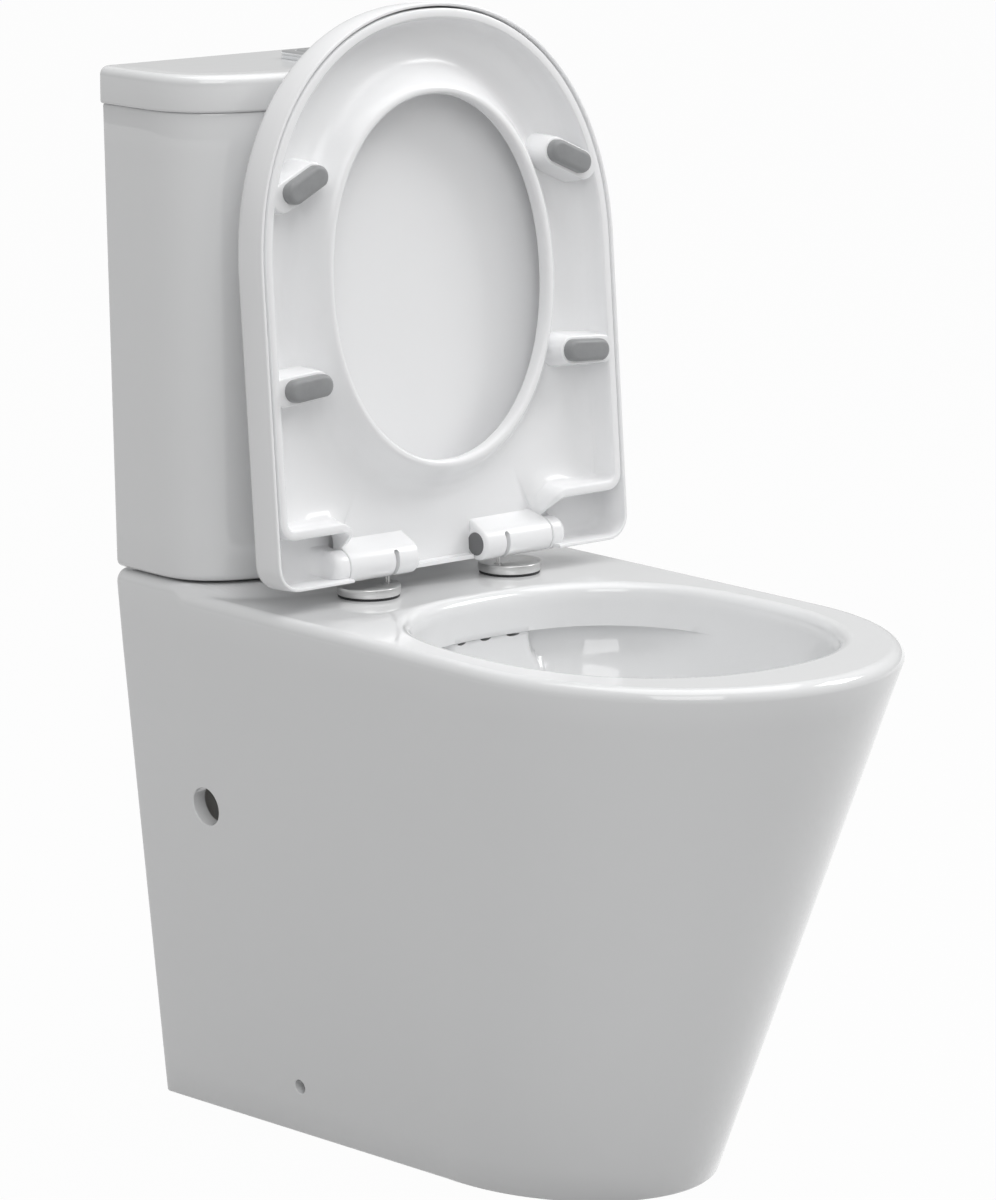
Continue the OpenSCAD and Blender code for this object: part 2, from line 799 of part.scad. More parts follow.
module seat_ring() {
    color(plastic)
    raised()
    difference() {
        union() {
            difference() {
                slab(seat_outline(seat_half, -arm_rear, seat_tip, seat_corner, 0), -seat_drop, seat_top);
                difference() {
                    slab(seat_outline(seat_half, -arm_rear, seat_tip, seat_corner, seat_rib),
                        -seat_drop - past, seat_top - seat_skin);
                    slab(opening_outline(seat_rib), -seat_drop - 2 * past, seat_top);
                    at_buffers()
                        oblong(buffer_length + 2 * buffer_bridge, buffer_width + buffer_bridge,
                            -seat_drop, seat_top);
                }
            }
            // the back panel that joins the ring to its barrels
            translate([-barrel_outer, -arm_rear - seat_rib - past, seat_top - panel_thickness])
                cube([2 * barrel_outer, arm_rear + seat_rib + past - panel_end, panel_thickness]);
            for (m = [0, 1]) mirror([m, 0, 0])
                along_x(barrel_inner, barrel_outer, barrel_radius);
        }
        slab(opening_outline(0), -seat_drop - past, seat_top + past);
        barrel_cuts();
    }
}

notch_side = 1.5;   // between a barrel and the cut end of the cover's skirt
rear_drop = 4;      // how far the skirt hangs below the axis between the barrels

module seat_cover() {
    color(plastic)
    raised()
    difference() {
        union() {
            difference() {
                slab(seat_outline(cover_half, cover_rear, cover_tip, cover_corner, 0),
                    -seat_drop, cover_depth - seat_drop);
                slab(seat_outline(cover_half, cover_rear, cover_tip, cover_corner, cover_skirt),
                    -seat_drop - past, cover_inner);
                for (s = [0, 1]) mirror([s, 0, 0])
                    translate([barrel_inner - notch_side, 0, -seat_drop - past])
                    cube([barrel_outer + 2 * notch_side - barrel_inner + lug_gap, cover_rear + past,
                        seat_drop + past + cover_inner]);
                translate([-barrel_inner, 0, -seat_drop - past])
                    cube([2 * barrel_inner, cover_rear + past, seat_drop + past - rear_drop]);
            }
            for (s = [0, 1]) mirror([s, 0, 0]) {
                along_x(barrel_outer + lug_gap, lug_outer, barrel_radius);
                translate([barrel_outer + lug_gap, -barrel_radius, 0])
                    cube([lug_width, 2 * barrel_radius - lug_end, cover_inner + past]);
            }
        }
        along_x(barrel_outer, lug_outer - lug_end, pin_radius + run_clearance);
        along_x(lug_end - lug_outer, -barrel_outer, pin_radius);
    }
}

module seat_buffers() {
    color(rubber)
    raised()
    at_buffers()
    oblong(buffer_length, buffer_width, -seat_drop - buffer_height, -seat_drop);
}

module cover_buffers() {
    color(rubber)
    raised()
    for (b = buffers, s = [-1, 1])
        translate([s * (b[0] + cover_buffer_shift), -b[1], seat_top + seat_rest])
        cylinder(h = cover_inner - seat_top - seat_rest, r = cover_buffer_radius);
}

// ---------------------------------------------------------------- hinges

damper_proud = 0.5;      // how far the soft-close cylinder shows past its barrel
damper_end = 8;          // its closed end
socket_end = 12;         // depth of the socket for the cover's shaft
pin_play = 1;            // between a pin's end and the bottom of its bore

module seat_damper() {
    color(damper_grey)
    raised()
    difference() {
        along_x(barrel_inner - damper_proud, damper_inner - seat_rest, damper_radius);
        along_x(barrel_inner + damper_end, damper_inner, pin_radius + run_clearance);
    }
}

module cover_damper() {
    color(damper_grey)
    at_hinge()
    difference() {
        along_x(-cover_damper_to, -cover_damper_from, damper_radius);
        along_x(-cover_damper_to - past, -cover_damper_to + socket_end, pin_radius + run_clearance);
    }
}

module cover_damper_shaft() {
    color(steel) raised() along_x(lug_end - lug_outer, -cover_damper_to + socket_end - pin_play, pin_radius);
}

module hinge_pin_left() {
    color(steel) at_hinge() along_x(-cover_damper_from, -barrel_inner - pin_end - pin_play, pin_radius);
}

module hinge_pin_right() {
    color(steel) at_hinge()
    along_x(barrel_inner + damper_end + pin_play, lug_outer - lug_end - pin_play, pin_radius);
}

disc_z = rim_height + disc_gasket;
disc_top = disc_z + disc_height;
disc_skin = 1.6;
disc_rim = 2;            // thickness of a disc's side
plate_height = 3;
plate_margin = 3;        // from a post's plate to the disc's side
stem_radius = 4.5;
stem_gap = 0.8;          // from the stem's top to the barrel above it
stem_top = hinge_z - barrel_radius - stem_gap;
bolt_radius = 3;
bolt_gap = 0.3;

// The right-hand post: its plate under the disc, stem, flat and eye
module hinge_post() {
    color(steel)
    difference() {
        union() {
            post_at(hinge_spacing / 2, disc_d, disc_z, disc_z + plate_height, disc_radius - plate_margin);
            post_at(post_x, hinge_from_wall, disc_z, stem_top, stem_radius);
            translate([post_x - blade / 2, from_wall(hinge_from_wall + blade_half), disc_z])
                cube([blade, 2 * blade_half, hinge_rise - disc_gasket]);
            at_hinge() along_x(post_x - blade / 2, post_x + blade / 2, eye_radius);
        }
        at_hinge() along_x(post_x - blade, post_x + blade, pin_radius);
        post_at(hinge_spacing / 2, disc_d, rim_height, disc_top, bolt_radius + bolt_gap);
    }
}

module hinge_disc() {
    color(steel)
    difference() {
        post_at(hinge_spacing / 2, disc_d, disc_z, disc_top, disc_radius);
        post_at(hinge_spacing / 2, disc_d, rim_height, disc_top - disc_skin, disc_radius - disc_rim);
        post_at(post_x, hinge_from_wall, disc_z, disc_top + past, stem_radius + loose);
    }
}

module hinge_post_right() { hinge_post(); }
module hinge_post_left() { mirror([1, 0, 0]) hinge_post(); }
module hinge_disc_right() { hinge_disc(); }
module hinge_disc_left() { mirror([1, 0, 0]) hinge_disc(); }

sleeve_length = 26;
sleeve_bulge = 9.5;
sleeve_gap = 0.3;
hinge_bolt_head = 6;
hinge_head_height = 2.2;
hinge_bolt_tail = 9;     // how far the bolt reaches past the sleeve
hinge_nut_height = 6;
hinge_nut_across = 12;
gasket_margin = 1;       // from the rubber ring's edge to the disc's
gasket_gap = 0.5;        // from the rubber ring to the hole in the deck

module hinge_disc_gaskets() {
    color(dark_rubber)
    for (s = [-1, 1])
        ring_at(s * hinge_spacing / 2, disc_d, rim_height, disc_z,
            hinge_hole + gasket_gap, disc_radius - gasket_margin);
}

module hinge_bolts() {
    color(steel)
    for (s = [-1, 1]) {
        post_at(s * hinge_spacing / 2, disc_d, disc_z + plate_height,
            disc_z + plate_height + hinge_head_height, hinge_bolt_head);
        post_at(s * hinge_spacing / 2, disc_d, disc_z - sleeve_length - hinge_bolt_tail,
            disc_z + plate_height,
            bolt_radius);
    }
}

module hinge_sleeves() {
    color(dark_rubber)
    for (s = [-1, 1])
        difference() {
            union() {
                post_at(s * hinge_spacing / 2, disc_d, disc_z - sleeve_length, disc_z,
                    hinge_hole - sleeve_gap);
                post_at(s * hinge_spacing / 2, disc_d, disc_z - sleeve_length, deck_under - sleeve_gap,
                    sleeve_bulge);
            }
            post_at(s * hinge_spacing / 2, disc_d, rim_height - 3 * sleeve_length, rim_height + sleeve_length,
                bolt_radius + 0.2);
        }
}

module hinge_nuts() {
    color(brass)
    for (s = [-1, 1])
        nut_at(s * hinge_spacing / 2, disc_d, disc_z - sleeve_length - hinge_nut_height,
            disc_z - sleeve_length, hinge_nut_across, bolt_radius);
}

// ---------------------------------------------------------------- push buttons

bezel_floor = 3;
bezel_drop = 11;       // how far the bezel reaches below the lid's top
bezel_floor_z = lid_under - bezel_drop;
retainer_height = 4;
retainer_border = 7;   // of the retaining frame, at its ends
retainer_side = 6;     // and along its sides
retainer_gap = 0.2;
stem_drop = 8;         // how far a button's stem reaches below the bezel
button_x = 20.5;
button_stem = 4;
cap_height = 6;
cap_proud = 1;
cap_top = lid_z + bezel_height + cap_proud;
cap_z = cap_top - cap_height;
stem_end = bezel_floor_z - stem_drop;
cap_gap = 0.5;
groove_rise = 3;       // the groove round the bezel's edge
groove_height = 0.8;
groove_depth = 1;

module button_bezel() {
    color(chrome)
    difference() {
        union() {
            button_box(bezel_width / 2, bezel_depth / 2, lid_z, lid_z + bezel_height);
            button_box(skirt_half, skirt_depth, bezel_floor_z, lid_z + past);
        }
        button_box(window_half, window_depth, bezel_floor_z + bezel_floor, lid_z + bezel_height + past);
        difference() {
            button_box(bezel_width, bezel_depth, lid_z + groove_rise, lid_z + groove_rise + groove_height);
            button_box(bezel_width / 2 - groove_depth, bezel_depth / 2 - groove_depth,
                lid_z, lid_z + bezel_height);
        }
        for (s = [-1, 1])
            post_at(s * button_x, fittings_from_wall, bezel_floor_z - past, lid_z, button_stem + loose);
    }
}

module button_retainer() {
    color(inner_plastic)
    difference() {
        button_box(skirt_half + retainer_border, skirt_depth + retainer_side,
            lid_under - retainer_height, lid_under);
        button_box(skirt_half + retainer_gap, skirt_depth + retainer_gap, lid_under - retainer_height - past,
            lid_under + past);
    }
}

module flush_button(side) {
    x0 = side > 0 ? cap_gap : cap_gap - window_half;
    color(chrome) {
        box_at(x0, x0 + window_half - 2 * cap_gap, fittings_from_wall - window_depth + cap_gap,
            fittings_from_wall + window_depth - cap_gap, cap_z, cap_top);
        post_at(side * button_x, fittings_from_wall, stem_end, cap_z, button_stem);
    }
}

module half_flush_button() { flush_button(-1); }
module full_flush_button() { flush_button(1); }

spring_radius = 6;
spring_wire = 0.6;
spring_turns = 6;
spring_steps = 12;     // around a turn
wire_sides = 5;

// A coil spring swept along its helix
module coil(x, z0, z1) {
    n = spring_turns * spring_steps;
    rise = (z1 - z0 - 2 * spring_wire) / n;
    points = [
        for (i = [0 : n], j = [0 : wire_sides - 1])
            let (a = 360 * i / spring_steps, b = 360 * j / wire_sides)
            let (r = spring_radius + spring_wire * cos(b))
            [x + r * cos(a), from_wall(fittings_from_wall) + r * sin(a),
                z0 + spring_wire + rise * i + spring_wire * sin(b)]
    ];
    polyhedron(
        points = points,
        faces = [
            [for (j = [0 : wire_sides - 1]) j],
            for (i = [0 : n - 1], j = [0 : wire_sides - 1])
                [i * wire_sides + j, (i + 1) * wire_sides + j, (i + 1) * wire_sides + (j + 1) % wire_sides],
            for (i = [0 : n - 1], j = [0 : wire_sides - 1])
                [i * wire_sides + j, (i + 1) * wire_sides + (j + 1) % wire_sides,
                    i * wire_sides + (j + 1) % wire_sides],
            [for (j = [wire_sides - 1 : -1 : 0]) n * wire_sides + j]
        ]
    );
}

module button_spring(side) {
    color(steel) coil(side * button_x, bezel_floor_z + bezel_floor, cap_z);
}

module half_button_spring() { button_spring(-1); }
module full_button_spring() { button_spring(1); }

// ---------------------------------------------------------------- flush valve

valve_flange = 4.5;
valve_seal = 3;
valve_base_z = tank_floor_z + valve_seal;
seat_lip = 2;          // height of the ring that the seal sits on, above the flange
shank_wall = 4;
valve_seat_z = valve_base_z + valve_flange + seat_lip;
valve_bore = valve_shank_radius - shank_wall;
shank_length = 18;
valve_lip = 3;         // thickness of that ring
cage_height = 30;
cage_top = valve_base_z + cage_height;
cage_window = 30;      // width of the openings in the cage
cage_bar = 5;          // the ring above them
tower_wall = 3;
head_drop = 90;        // from the buttons' stems to the head's underside
head_z = stem_end - head_drop;
head_height = 44;
rod_radius = 3;
rod_entry = 2;         // how deep a rod stands in its socket at rest
rod_room = 5;          // left below a rod that is pressed right down
rod_clearance = 1;
socket_depth = rod_entry + button_travel + rod_room;
valve_nut_height = 10;
nut_radius = 29.7;
thread_clearance = 0.1;

module valve_post(z0, z1, r) { post_at(0, fittings_from_wall, z0, z1, r); }
module valve_ring(z0, z1, r_in, r_out) { ring_at(0, fittings_from_wall, z0, z1, r_in, r_out); }

module flush_valve_base() {
    color(inner_plastic)
    difference() {
        union() {
            valve_post(valve_base_z, valve_base_z + valve_flange, tower_radius);
            valve_post(tank_z - shank_length, valve_base_z + past, valve_shank_radius);
            valve_ring(valve_base_z, valve_seat_z, valve_bore, valve_bore + valve_lip);
            difference() {
                valve_ring(valve_base_z, cage_top, tower_radius - tower_wall, tower_radius);
                for (a = [0, 90]) translate([0, from_wall(fittings_from_wall), valve_base_z + valve_flange])
                    rotate([0, 0, a]) translate([-2 * tower_radius, -cage_window / 2, 0])
                    cube([4 * tower_radius, cage_window, cage_top - valve_base_z - valve_flange - cage_bar]);
            }
        }
        valve_post(tank_z - shank_length - past, valve_base_z + valve_flange + valve_lip, valve_bore);
    }
}

module flush_valve_tower() {
    color(inner_plastic) valve_ring(cage_top, head_z, tower_radius - tower_wall, tower_radius);
}

module flush_valve_head() {
    color(inner_plastic)
    difference() {
        valve_post(head_z, head_z + head_height, tower_radius);
        valve_post(head_z - past, head_z + head_height + past, overflow_radius + canister_clearance);
        for (s = [-1, 1])
            post_at(s * button_x, fittings_from_wall, head_z + head_height - socket_depth,
                head_z + head_height + past, rod_radius + rod_clearance);
    }
}

seal_height = 4;
seal_cover = 3;        // how far the seal reaches over the valve's bore
seal_overlap = 6;      // and beyond it
canister_z = valve_seat_z + seat_rest + seal_height;
canister_foot = 4;
canister_foot_inset = 7.5;
canister_head = 12;    // how far the lifted canister stands above the valve's head
canister_clearance = 1;
canister_wall = 2.5;
cup_drop = 45;         // from the canister's foot to its cup
cup_height = 90;
cup_clearance = 2.5;
cup_wall = 3;
cup_end = 4;           // thickness of the cup's closed top
cup_bore_gap = 2;
cup_z = canister_z + cup_drop;
cup_radius = tower_radius - tower_wall - cup_clearance;

module flush_canister() {
    top = head_z + head_height + canister_head - canister_lift;
    color(valve_blue)
    difference() {
        union() {
            valve_post(canister_z, canister_z + canister_foot, tower_radius - canister_foot_inset);
            valve_post(canister_z, top, overflow_radius);
            difference() {
                valve_post(cup_z, cup_z + cup_height, cup_radius);
                valve_ring(cup_z - past, cup_z + cup_height - cup_end,
                    overflow_radius + cup_bore_gap, cup_radius - cup_wall);
            }
        }
        valve_post(canister_z - past, top + past, overflow_radius - canister_wall);
    }
}

module flush_seal() {
    color(seal_red)
    valve_ring(canister_z - seal_height, canister_z, valve_bore - seal_cover, valve_bore + seal_overlap);
}

washer_gap = 0.5;
washer_inset = 4;

module flush_valve_washer() {
    color(dark_rubber)
    valve_ring(tank_floor_z, valve_base_z, valve_shank_radius + washer_gap, tower_radius - washer_inset);
}

module flush_valve_nut() {
    color(inner_plastic)
    valve_ring(tank_z - valve_nut_height, tank_z, valve_shank_radius + thread_clearance, nut_radius);
}

gasket_bore_gap = 0.6;

module tank_gasket() {
    color(dark_rubber)
    valve_ring(shelf_z - gasket_recess, tank_z, nut_radius + gasket_bore_gap, gasket_outer);
}

module flush_rod(side) {
    color(inner_plastic)
    post_at(side * button_x, fittings_from_wall, head_z + head_height - rod_entry, stem_end, rod_radius);
}

module half_flush_rod() { flush_rod(-1); }
module full_flush_rod() { flush_rod(1); }

// ---------------------------------------------------------------- fill valve

fill_seal = 3;
fill_seal_radius = 17;
fill_flange = 4;
fill_flange_radius = 18;
riser_radius = 11;
water_bore = 7;
fill_base_z = tank_floor_z + fill_seal;
riser_z = fill_base_z + fill_flange;
riser_top = riser_z + riser_height;
cap_radius = 19;
fill_cap_height = 35;
fill_cap_top = riser_top + fill_cap_height;
fill_tail = 30;          // length below the nut
thread_groove = 2;       // length of the plain groove between the nut and the inlet's thread
groove_radius = 9.4;
fill_nut_height = 10;
fill_nut_across = 30;
float_radius = 27;
float_height = 75;
float_wall = 2;
float_end = 4;           // thickness of the float's closed top
float_clearance = 1;
float_drop = 95;         // from the riser's top to the float's bottom
float_stop = 6;          // height of the collar that the float rests on
float_stop_rim = 3;      // and how far it stands out from the riser
float_z = riser_top - float_drop;
link_x = 22;             // from the riser to the link rod
link_radius = 1.5;
link_root = 2;           // how deep the link rod stands in the float
lever_rise = 6;          // from the cap to the lever's axis
lever_z = fill_cap_top + lever_rise;
lever_pivot = 3;         // from the riser's axis to the lever's pivot
lever_half = 2;          // half the lever's width and height
lever_length = 25;
ear_thickness = 2.6;
ear_half = 4;            // half an ear's length, and its height above the lever's axis
bore_end = 10;           // from the end of the water's bore to the riser's top
lever_pin = 1.5;
lever_hub = 3;

module fill_ring(z0, z1, r_in, r_out) { ring_at(-fill_valve_offset, fill_from_wall, z0, z1, r_in, r_out); }
module fill_post(z0, z1, r) { post_at(-fill_valve_offset, fill_from_wall, z0, z1, r); }

module fill_valve_body() {
    color(inner_plastic)
    difference() {
        union() {
            fill_post(fill_base_z, riser_z, fill_flange_radius);
            fill_post(riser_z, riser_top, riser_radius);
            fill_post(float_z - float_stop, float_z - seat_rest, riser_radius + float_stop_rim);
            fill_post(tank_z - fill_nut_height, fill_base_z, inlet_thread_radius);
            fill_post(tank_z - fill_nut_height - fill_tail, tank_z, groove_radius);
            fill_post(tank_z - fill_nut_height - fill_tail, tank_z - fill_nut_height - thread_groove,
                inlet_thread_radius);
        }
        fill_post(tank_z - fill_nut_height - fill_tail - past, riser_top - bore_end, water_bore);
    }
}

module at_lever() {
    translate([-fill_valve_offset + lever_pivot, from_wall(fill_from_wall), lever_z]) children();
}

module across_lever(half, r) {
    rotate([90, 0, 0]) translate([0, 0, -half]) cylinder(h = 2 * half, r = r);
}

module fill_valve_cap() {
    inner = lever_half + loose;
    color(inner_plastic)
    difference() {
        union() {
            fill_post(riser_top, fill_cap_top, cap_radius);
            for (s = [0, 1]) mirror([0, s, 0]) translate([0, s > 0 ? -2 * from_wall(fill_from_wall) : 0, 0])
                at_lever() translate([-ear_half, inner, -lever_rise - past])
                cube([2 * ear_half, ear_thickness, past + lever_rise + ear_half]);
        }
        at_lever() across_lever(2 * (inner + ear_thickness), lever_pin + run_clearance);
    }
}

module fill_valve_lever() {
    color(valve_blue)
    at_lever() {
        across_lever(lever_half, lever_hub);
        translate([0, -lever_half, -lever_half]) cube([lever_length, 2 * lever_half, 2 * lever_half]);
        across_lever(lever_half + loose + ear_thickness, lever_pin);
    }
}

module fill_valve_float() {
    color(inner_plastic)
    union() {
        difference() {
            fill_post(float_z, float_z + float_height, float_radius);
            fill_post(float_z - past, float_z + float_height + past, riser_radius + float_clearance);
            fill_ring(float_z - past, float_z + float_height - float_end,
                riser_radius + float_clearance + float_wall, float_radius - float_wall);
        }
        post_at(link_x - fill_valve_offset, fill_from_wall, float_z + float_height - link_root,
            lever_z - lever_half - seat_rest, link_radius);
    }
}

module fill_valve_washer() {
    color(dark_rubber)
    fill_ring(tank_floor_z, fill_base_z, inlet_thread_radius + thread_clearance, fill_seal_radius);
}

module fill_valve_nut() {
    color(inner_plastic)
    nut_at(-fill_valve_offset, fill_from_wall, tank_z - fill_nut_height, tank_z,
        fill_nut_across, inlet_thread_radius + thread_clearance);
}

// ---------------------------------------------------------------- cistern fixings

tank_bolt = 4;
bolt_seal = 3;
bolt_washer = 1.6;
bolt_nut = 8;
bolt_nut_across = 13;
bolt_tail = 14;
bolt_head = 8;           // radius of a bolt's head
bolt_head_height = 5;
bolt_seal_radius = 12;
wing_reach = 5;          // from the nut's side to the middle of a wing
wing_half = 6;
wing_thickness = 2.4;
wing_drop = 1;           // a wing is this much lower than its nut

module at_bolts() {
    for (s = [-1, 1]) translate([s * tank_bolt_offset, 0, 0]) children();
}

module tank_bolts() {
    color(brass) at_bolts() {
        post_at(0, fittings_from_wall, tank_floor_z + bolt_seal,
            tank_floor_z + bolt_seal + bolt_head_height, bolt_head);
        post_at(0, fittings_from_wall, deck_under - bolt_washer - bolt_nut - bolt_tail,
            tank_floor_z + bolt_seal + past, tank_bolt);
    }
}

module tank_bolt_seals() {
    color(dark_rubber) at_bolts()
    ring_at(0, fittings_from_wall, tank_floor_z, tank_floor_z + bolt_seal,
        tank_bolt + thread_clearance, bolt_seal_radius);
}

module tank_bolt_washers() {
    color(steel) at_bolts()
    ring_at(0, fittings_from_wall, deck_under - bolt_washer, deck_under,
        tank_bolt + thread_clearance, bolt_seal_radius);
}

module tank_bolt_nuts() {
    nut_z = deck_under - bolt_washer - bolt_nut;
    color(brass) at_bolts() {
        nut_at(0, fittings_from_wall, nut_z, nut_z + bolt_nut, bolt_nut_across, tank_bolt + thread_clearance);
        for (s = [-1, 1])
            translate([s * (bolt_nut_across / 2 + wing_reach) - wing_half,
                from_wall(fittings_from_wall) - wing_thickness / 2, nut_z])
            cube([2 * wing_half, wing_thickness, bolt_nut - wing_drop]);
    }
}

// ---------------------------------------------------------------- nodes

pan_skirt();
pan_deck();
pan_bowl();
pan_duct();
pan_trap();
cistern_tank();
cistern_lid();
seat_ring();
seat_cover();
seat_buffers();
cover_buffers();
seat_damper();
cover_damper();
cover_damper_shaft();
hinge_pin_left();
hinge_pin_right();
hinge_post_left();
hinge_post_right();
hinge_disc_left();
hinge_disc_right();
hinge_disc_gaskets();
hinge_bolts();
hinge_sleeves();
hinge_nuts();
button_bezel();
button_retainer();
half_flush_button();
full_flush_button();
half_flush_rod();
full_flush_rod();
half_button_spring();
full_button_spring();
flush_valve_base();
flush_valve_tower();
flush_valve_head();
flush_canister();
flush_seal();
flush_valve_washer();
flush_valve_nut();
tank_gasket();
fill_valve_body();
fill_valve_cap();
fill_valve_float();
fill_valve_lever();
fill_valve_washer();
fill_valve_nut();
tank_bolts();
tank_bolt_seals();
tank_bolt_washers();
tank_bolt_nuts();
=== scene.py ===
"""Looks for a back to wall toilet: ceramic pan and cistern, raised seat and cover, hinges and push buttons.

Every length is in metres. The front of the pan faces -Y, the wall is at +Y and the floor is at z = 0. Plan
shapes are worked out from the wall: a place "from the wall" is measured along -Y.
"""
import json
import math

import bmesh
import bpy
from mathutils import Matrix, Vector


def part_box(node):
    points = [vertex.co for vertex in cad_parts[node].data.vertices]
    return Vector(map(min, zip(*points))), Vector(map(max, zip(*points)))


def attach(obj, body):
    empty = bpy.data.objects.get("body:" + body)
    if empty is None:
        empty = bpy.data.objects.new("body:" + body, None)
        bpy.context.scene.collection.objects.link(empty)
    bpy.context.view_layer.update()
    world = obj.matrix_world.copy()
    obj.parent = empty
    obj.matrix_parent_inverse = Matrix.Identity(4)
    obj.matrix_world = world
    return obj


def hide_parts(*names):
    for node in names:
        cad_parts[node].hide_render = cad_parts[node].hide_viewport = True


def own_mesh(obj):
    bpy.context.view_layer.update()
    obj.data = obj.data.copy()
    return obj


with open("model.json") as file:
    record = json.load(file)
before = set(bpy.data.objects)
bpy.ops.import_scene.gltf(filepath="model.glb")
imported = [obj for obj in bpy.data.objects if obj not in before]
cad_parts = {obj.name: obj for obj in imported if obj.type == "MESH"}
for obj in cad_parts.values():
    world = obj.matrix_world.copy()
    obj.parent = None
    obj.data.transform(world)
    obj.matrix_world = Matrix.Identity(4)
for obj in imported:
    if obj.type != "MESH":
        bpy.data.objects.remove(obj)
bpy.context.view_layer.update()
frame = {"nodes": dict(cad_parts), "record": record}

bl_info = {
    "name": "Back to Wall Toilet",
    "version": (1, 0, 0),
    "blender": (4, 5, 0),
    "location": "View3D > Sidebar > Toilet",
    "description": "Makes a back to wall toilet with a raised seat, its finishes and its studio",
    "category": "Add Mesh",
}

MM = 0.001
TANK_LOW, TANK_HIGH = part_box("cistern_tank")
LID_LOW, LID_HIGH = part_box("cistern_lid")
BEZEL_LOW, BEZEL_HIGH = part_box("button_bezel")
PIN_LOW, PIN_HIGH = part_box("hinge_pin_right")
WALL_Y = TANK_HIGH.y
HINGE = Vector((0.0, *PIN_LOW.yz)) + Vector((0.0, *(PIN_HIGH.yz - PIN_LOW.yz) / 2))     # on the seat's axis
OPEN_ANGLE = math.radians(94.7)     # how far seat and cover are turned up from closed


# ---------------------------------------------------------------- settings

def length(name, description, millimetres):
    """A length property with its default in millimetres."""
    return bpy.props.FloatProperty(
        name=name, description=description, default=millimetres * MM, unit="LENGTH", precision=4
    )


def colour(name, description, shade):
    """A colour property."""
    return bpy.props.FloatVectorProperty(
        name=name, description=description, default=shade, subtype="COLOR", size=3, min=0.0, max=1.0
    )


def number(name, description, value):
    """A plain number."""
    return bpy.props.FloatProperty(name=name, description=description, default=value)


class PanSettings(bpy.types.PropertyGroup):
    """Sizes of the pan."""

    length: length("Length", "From the wall to the front of the rim", 642)
    width: length("Width", "Width over the rim", 362)
    rim_height: length("Rim height", "Height of the rim above the floor", 436)
    rim_round: length("Rim front", "Length of the rim's rounded front", 202)
    foot_length: length("Foot length", "From the wall to the front of the foot", 474)
    foot_round: length("Foot front", "Length of the foot's rounded front", 144)
    foot_width: length("Foot width", "Width of the foot at the wall", 274)
    foot_front_width: length("Foot front width", "Width of the foot where its round front starts", 226)
    rim_edge: length("Rim edge", "Radius of the rim's outer edge", 10)
    wall: length("Wall", "Thickness of the skirt", 12)
    deck: length("Deck", "Thickness of the deck", 14)
    shelf_rise: length("Shelf rise", "Rise of the cistern's shelf above the rim", 6.5)
    shelf_slope: length("Shelf slope", "Length of the slope in front of the shelf", 40)
    bowl_back: length("Bowl back", "From the wall to the back of the bowl", 248)
    bowl_tip: length("Bowl tip", "From the wall to the front of the bowl", 579)
    bowl_half: length("Bowl half width", "Half the width of the bowl's opening", 146)
    bowl_edge: length("Bowl edge", "Radius of the rim's inner edge", 9)
    sump_height: length("Sump height", "Height of the bowl's lowest point", 150)
    sump_radius: length("Sump radius", "Radius of the bowl's lowest part", 42)
    sump_from_wall: length("Sump place", "From the wall to the middle of the sump", 335)
    lip_depth: length("Lip depth", "Depth of the smooth band above the flush channel", 33)
    channel_depth: length("Channel depth", "How far the flush channel is cut back under the lip", 13)
    spreader_half: length("Spreader", "Half the width of the flush water's spreader", 38)
    flange_inner: length("Back flange", "From the middle to the flanges where the skirt meets the wall", 68)
    flange: length("Flange thickness", "Thickness of the flanges where the skirt meets the wall", 12)


class CisternSettings(bpy.types.PropertyGroup):
    """Sizes of the cistern, its lid and the button plate."""

    bottom_width: length("Bottom width", "Width of the cistern at its bottom", 361)
    top_width: length("Top width", "Width of the cistern at its top", 376)
    bottom_depth: length("Bottom depth", "Depth of the cistern at its bottom", 126)
    top_depth: length("Top depth", "Depth of the cistern at its top", 134)
    side: length("Flat side", "Length of the cistern's flat sides, from the wall", 40)
    wall: length("Wall", "Thickness of the cistern's walls", 10)
    floor: length("Floor", "Thickness of the cistern's floor", 12)
    edge: length("Edge", "Rounding of the cistern's bottom edge", 6)
    overhang: length("Overhang", "Overhang of the lid", 2.5)
    lid_top: length("Lid top", "Thickness of the lid's top", 14)
    lid_edge: length("Lid edge", "Rounding of the lid's top edge", 7)
    fittings: length("Fittings", "From the wall to the row of valves and buttons", 68)
    plate_end: length("Plate end", "Width of the button plate's border at each end", 9.7)
    plate_side: length("Plate side", "Width of the button plate's border along each side", 6.1)


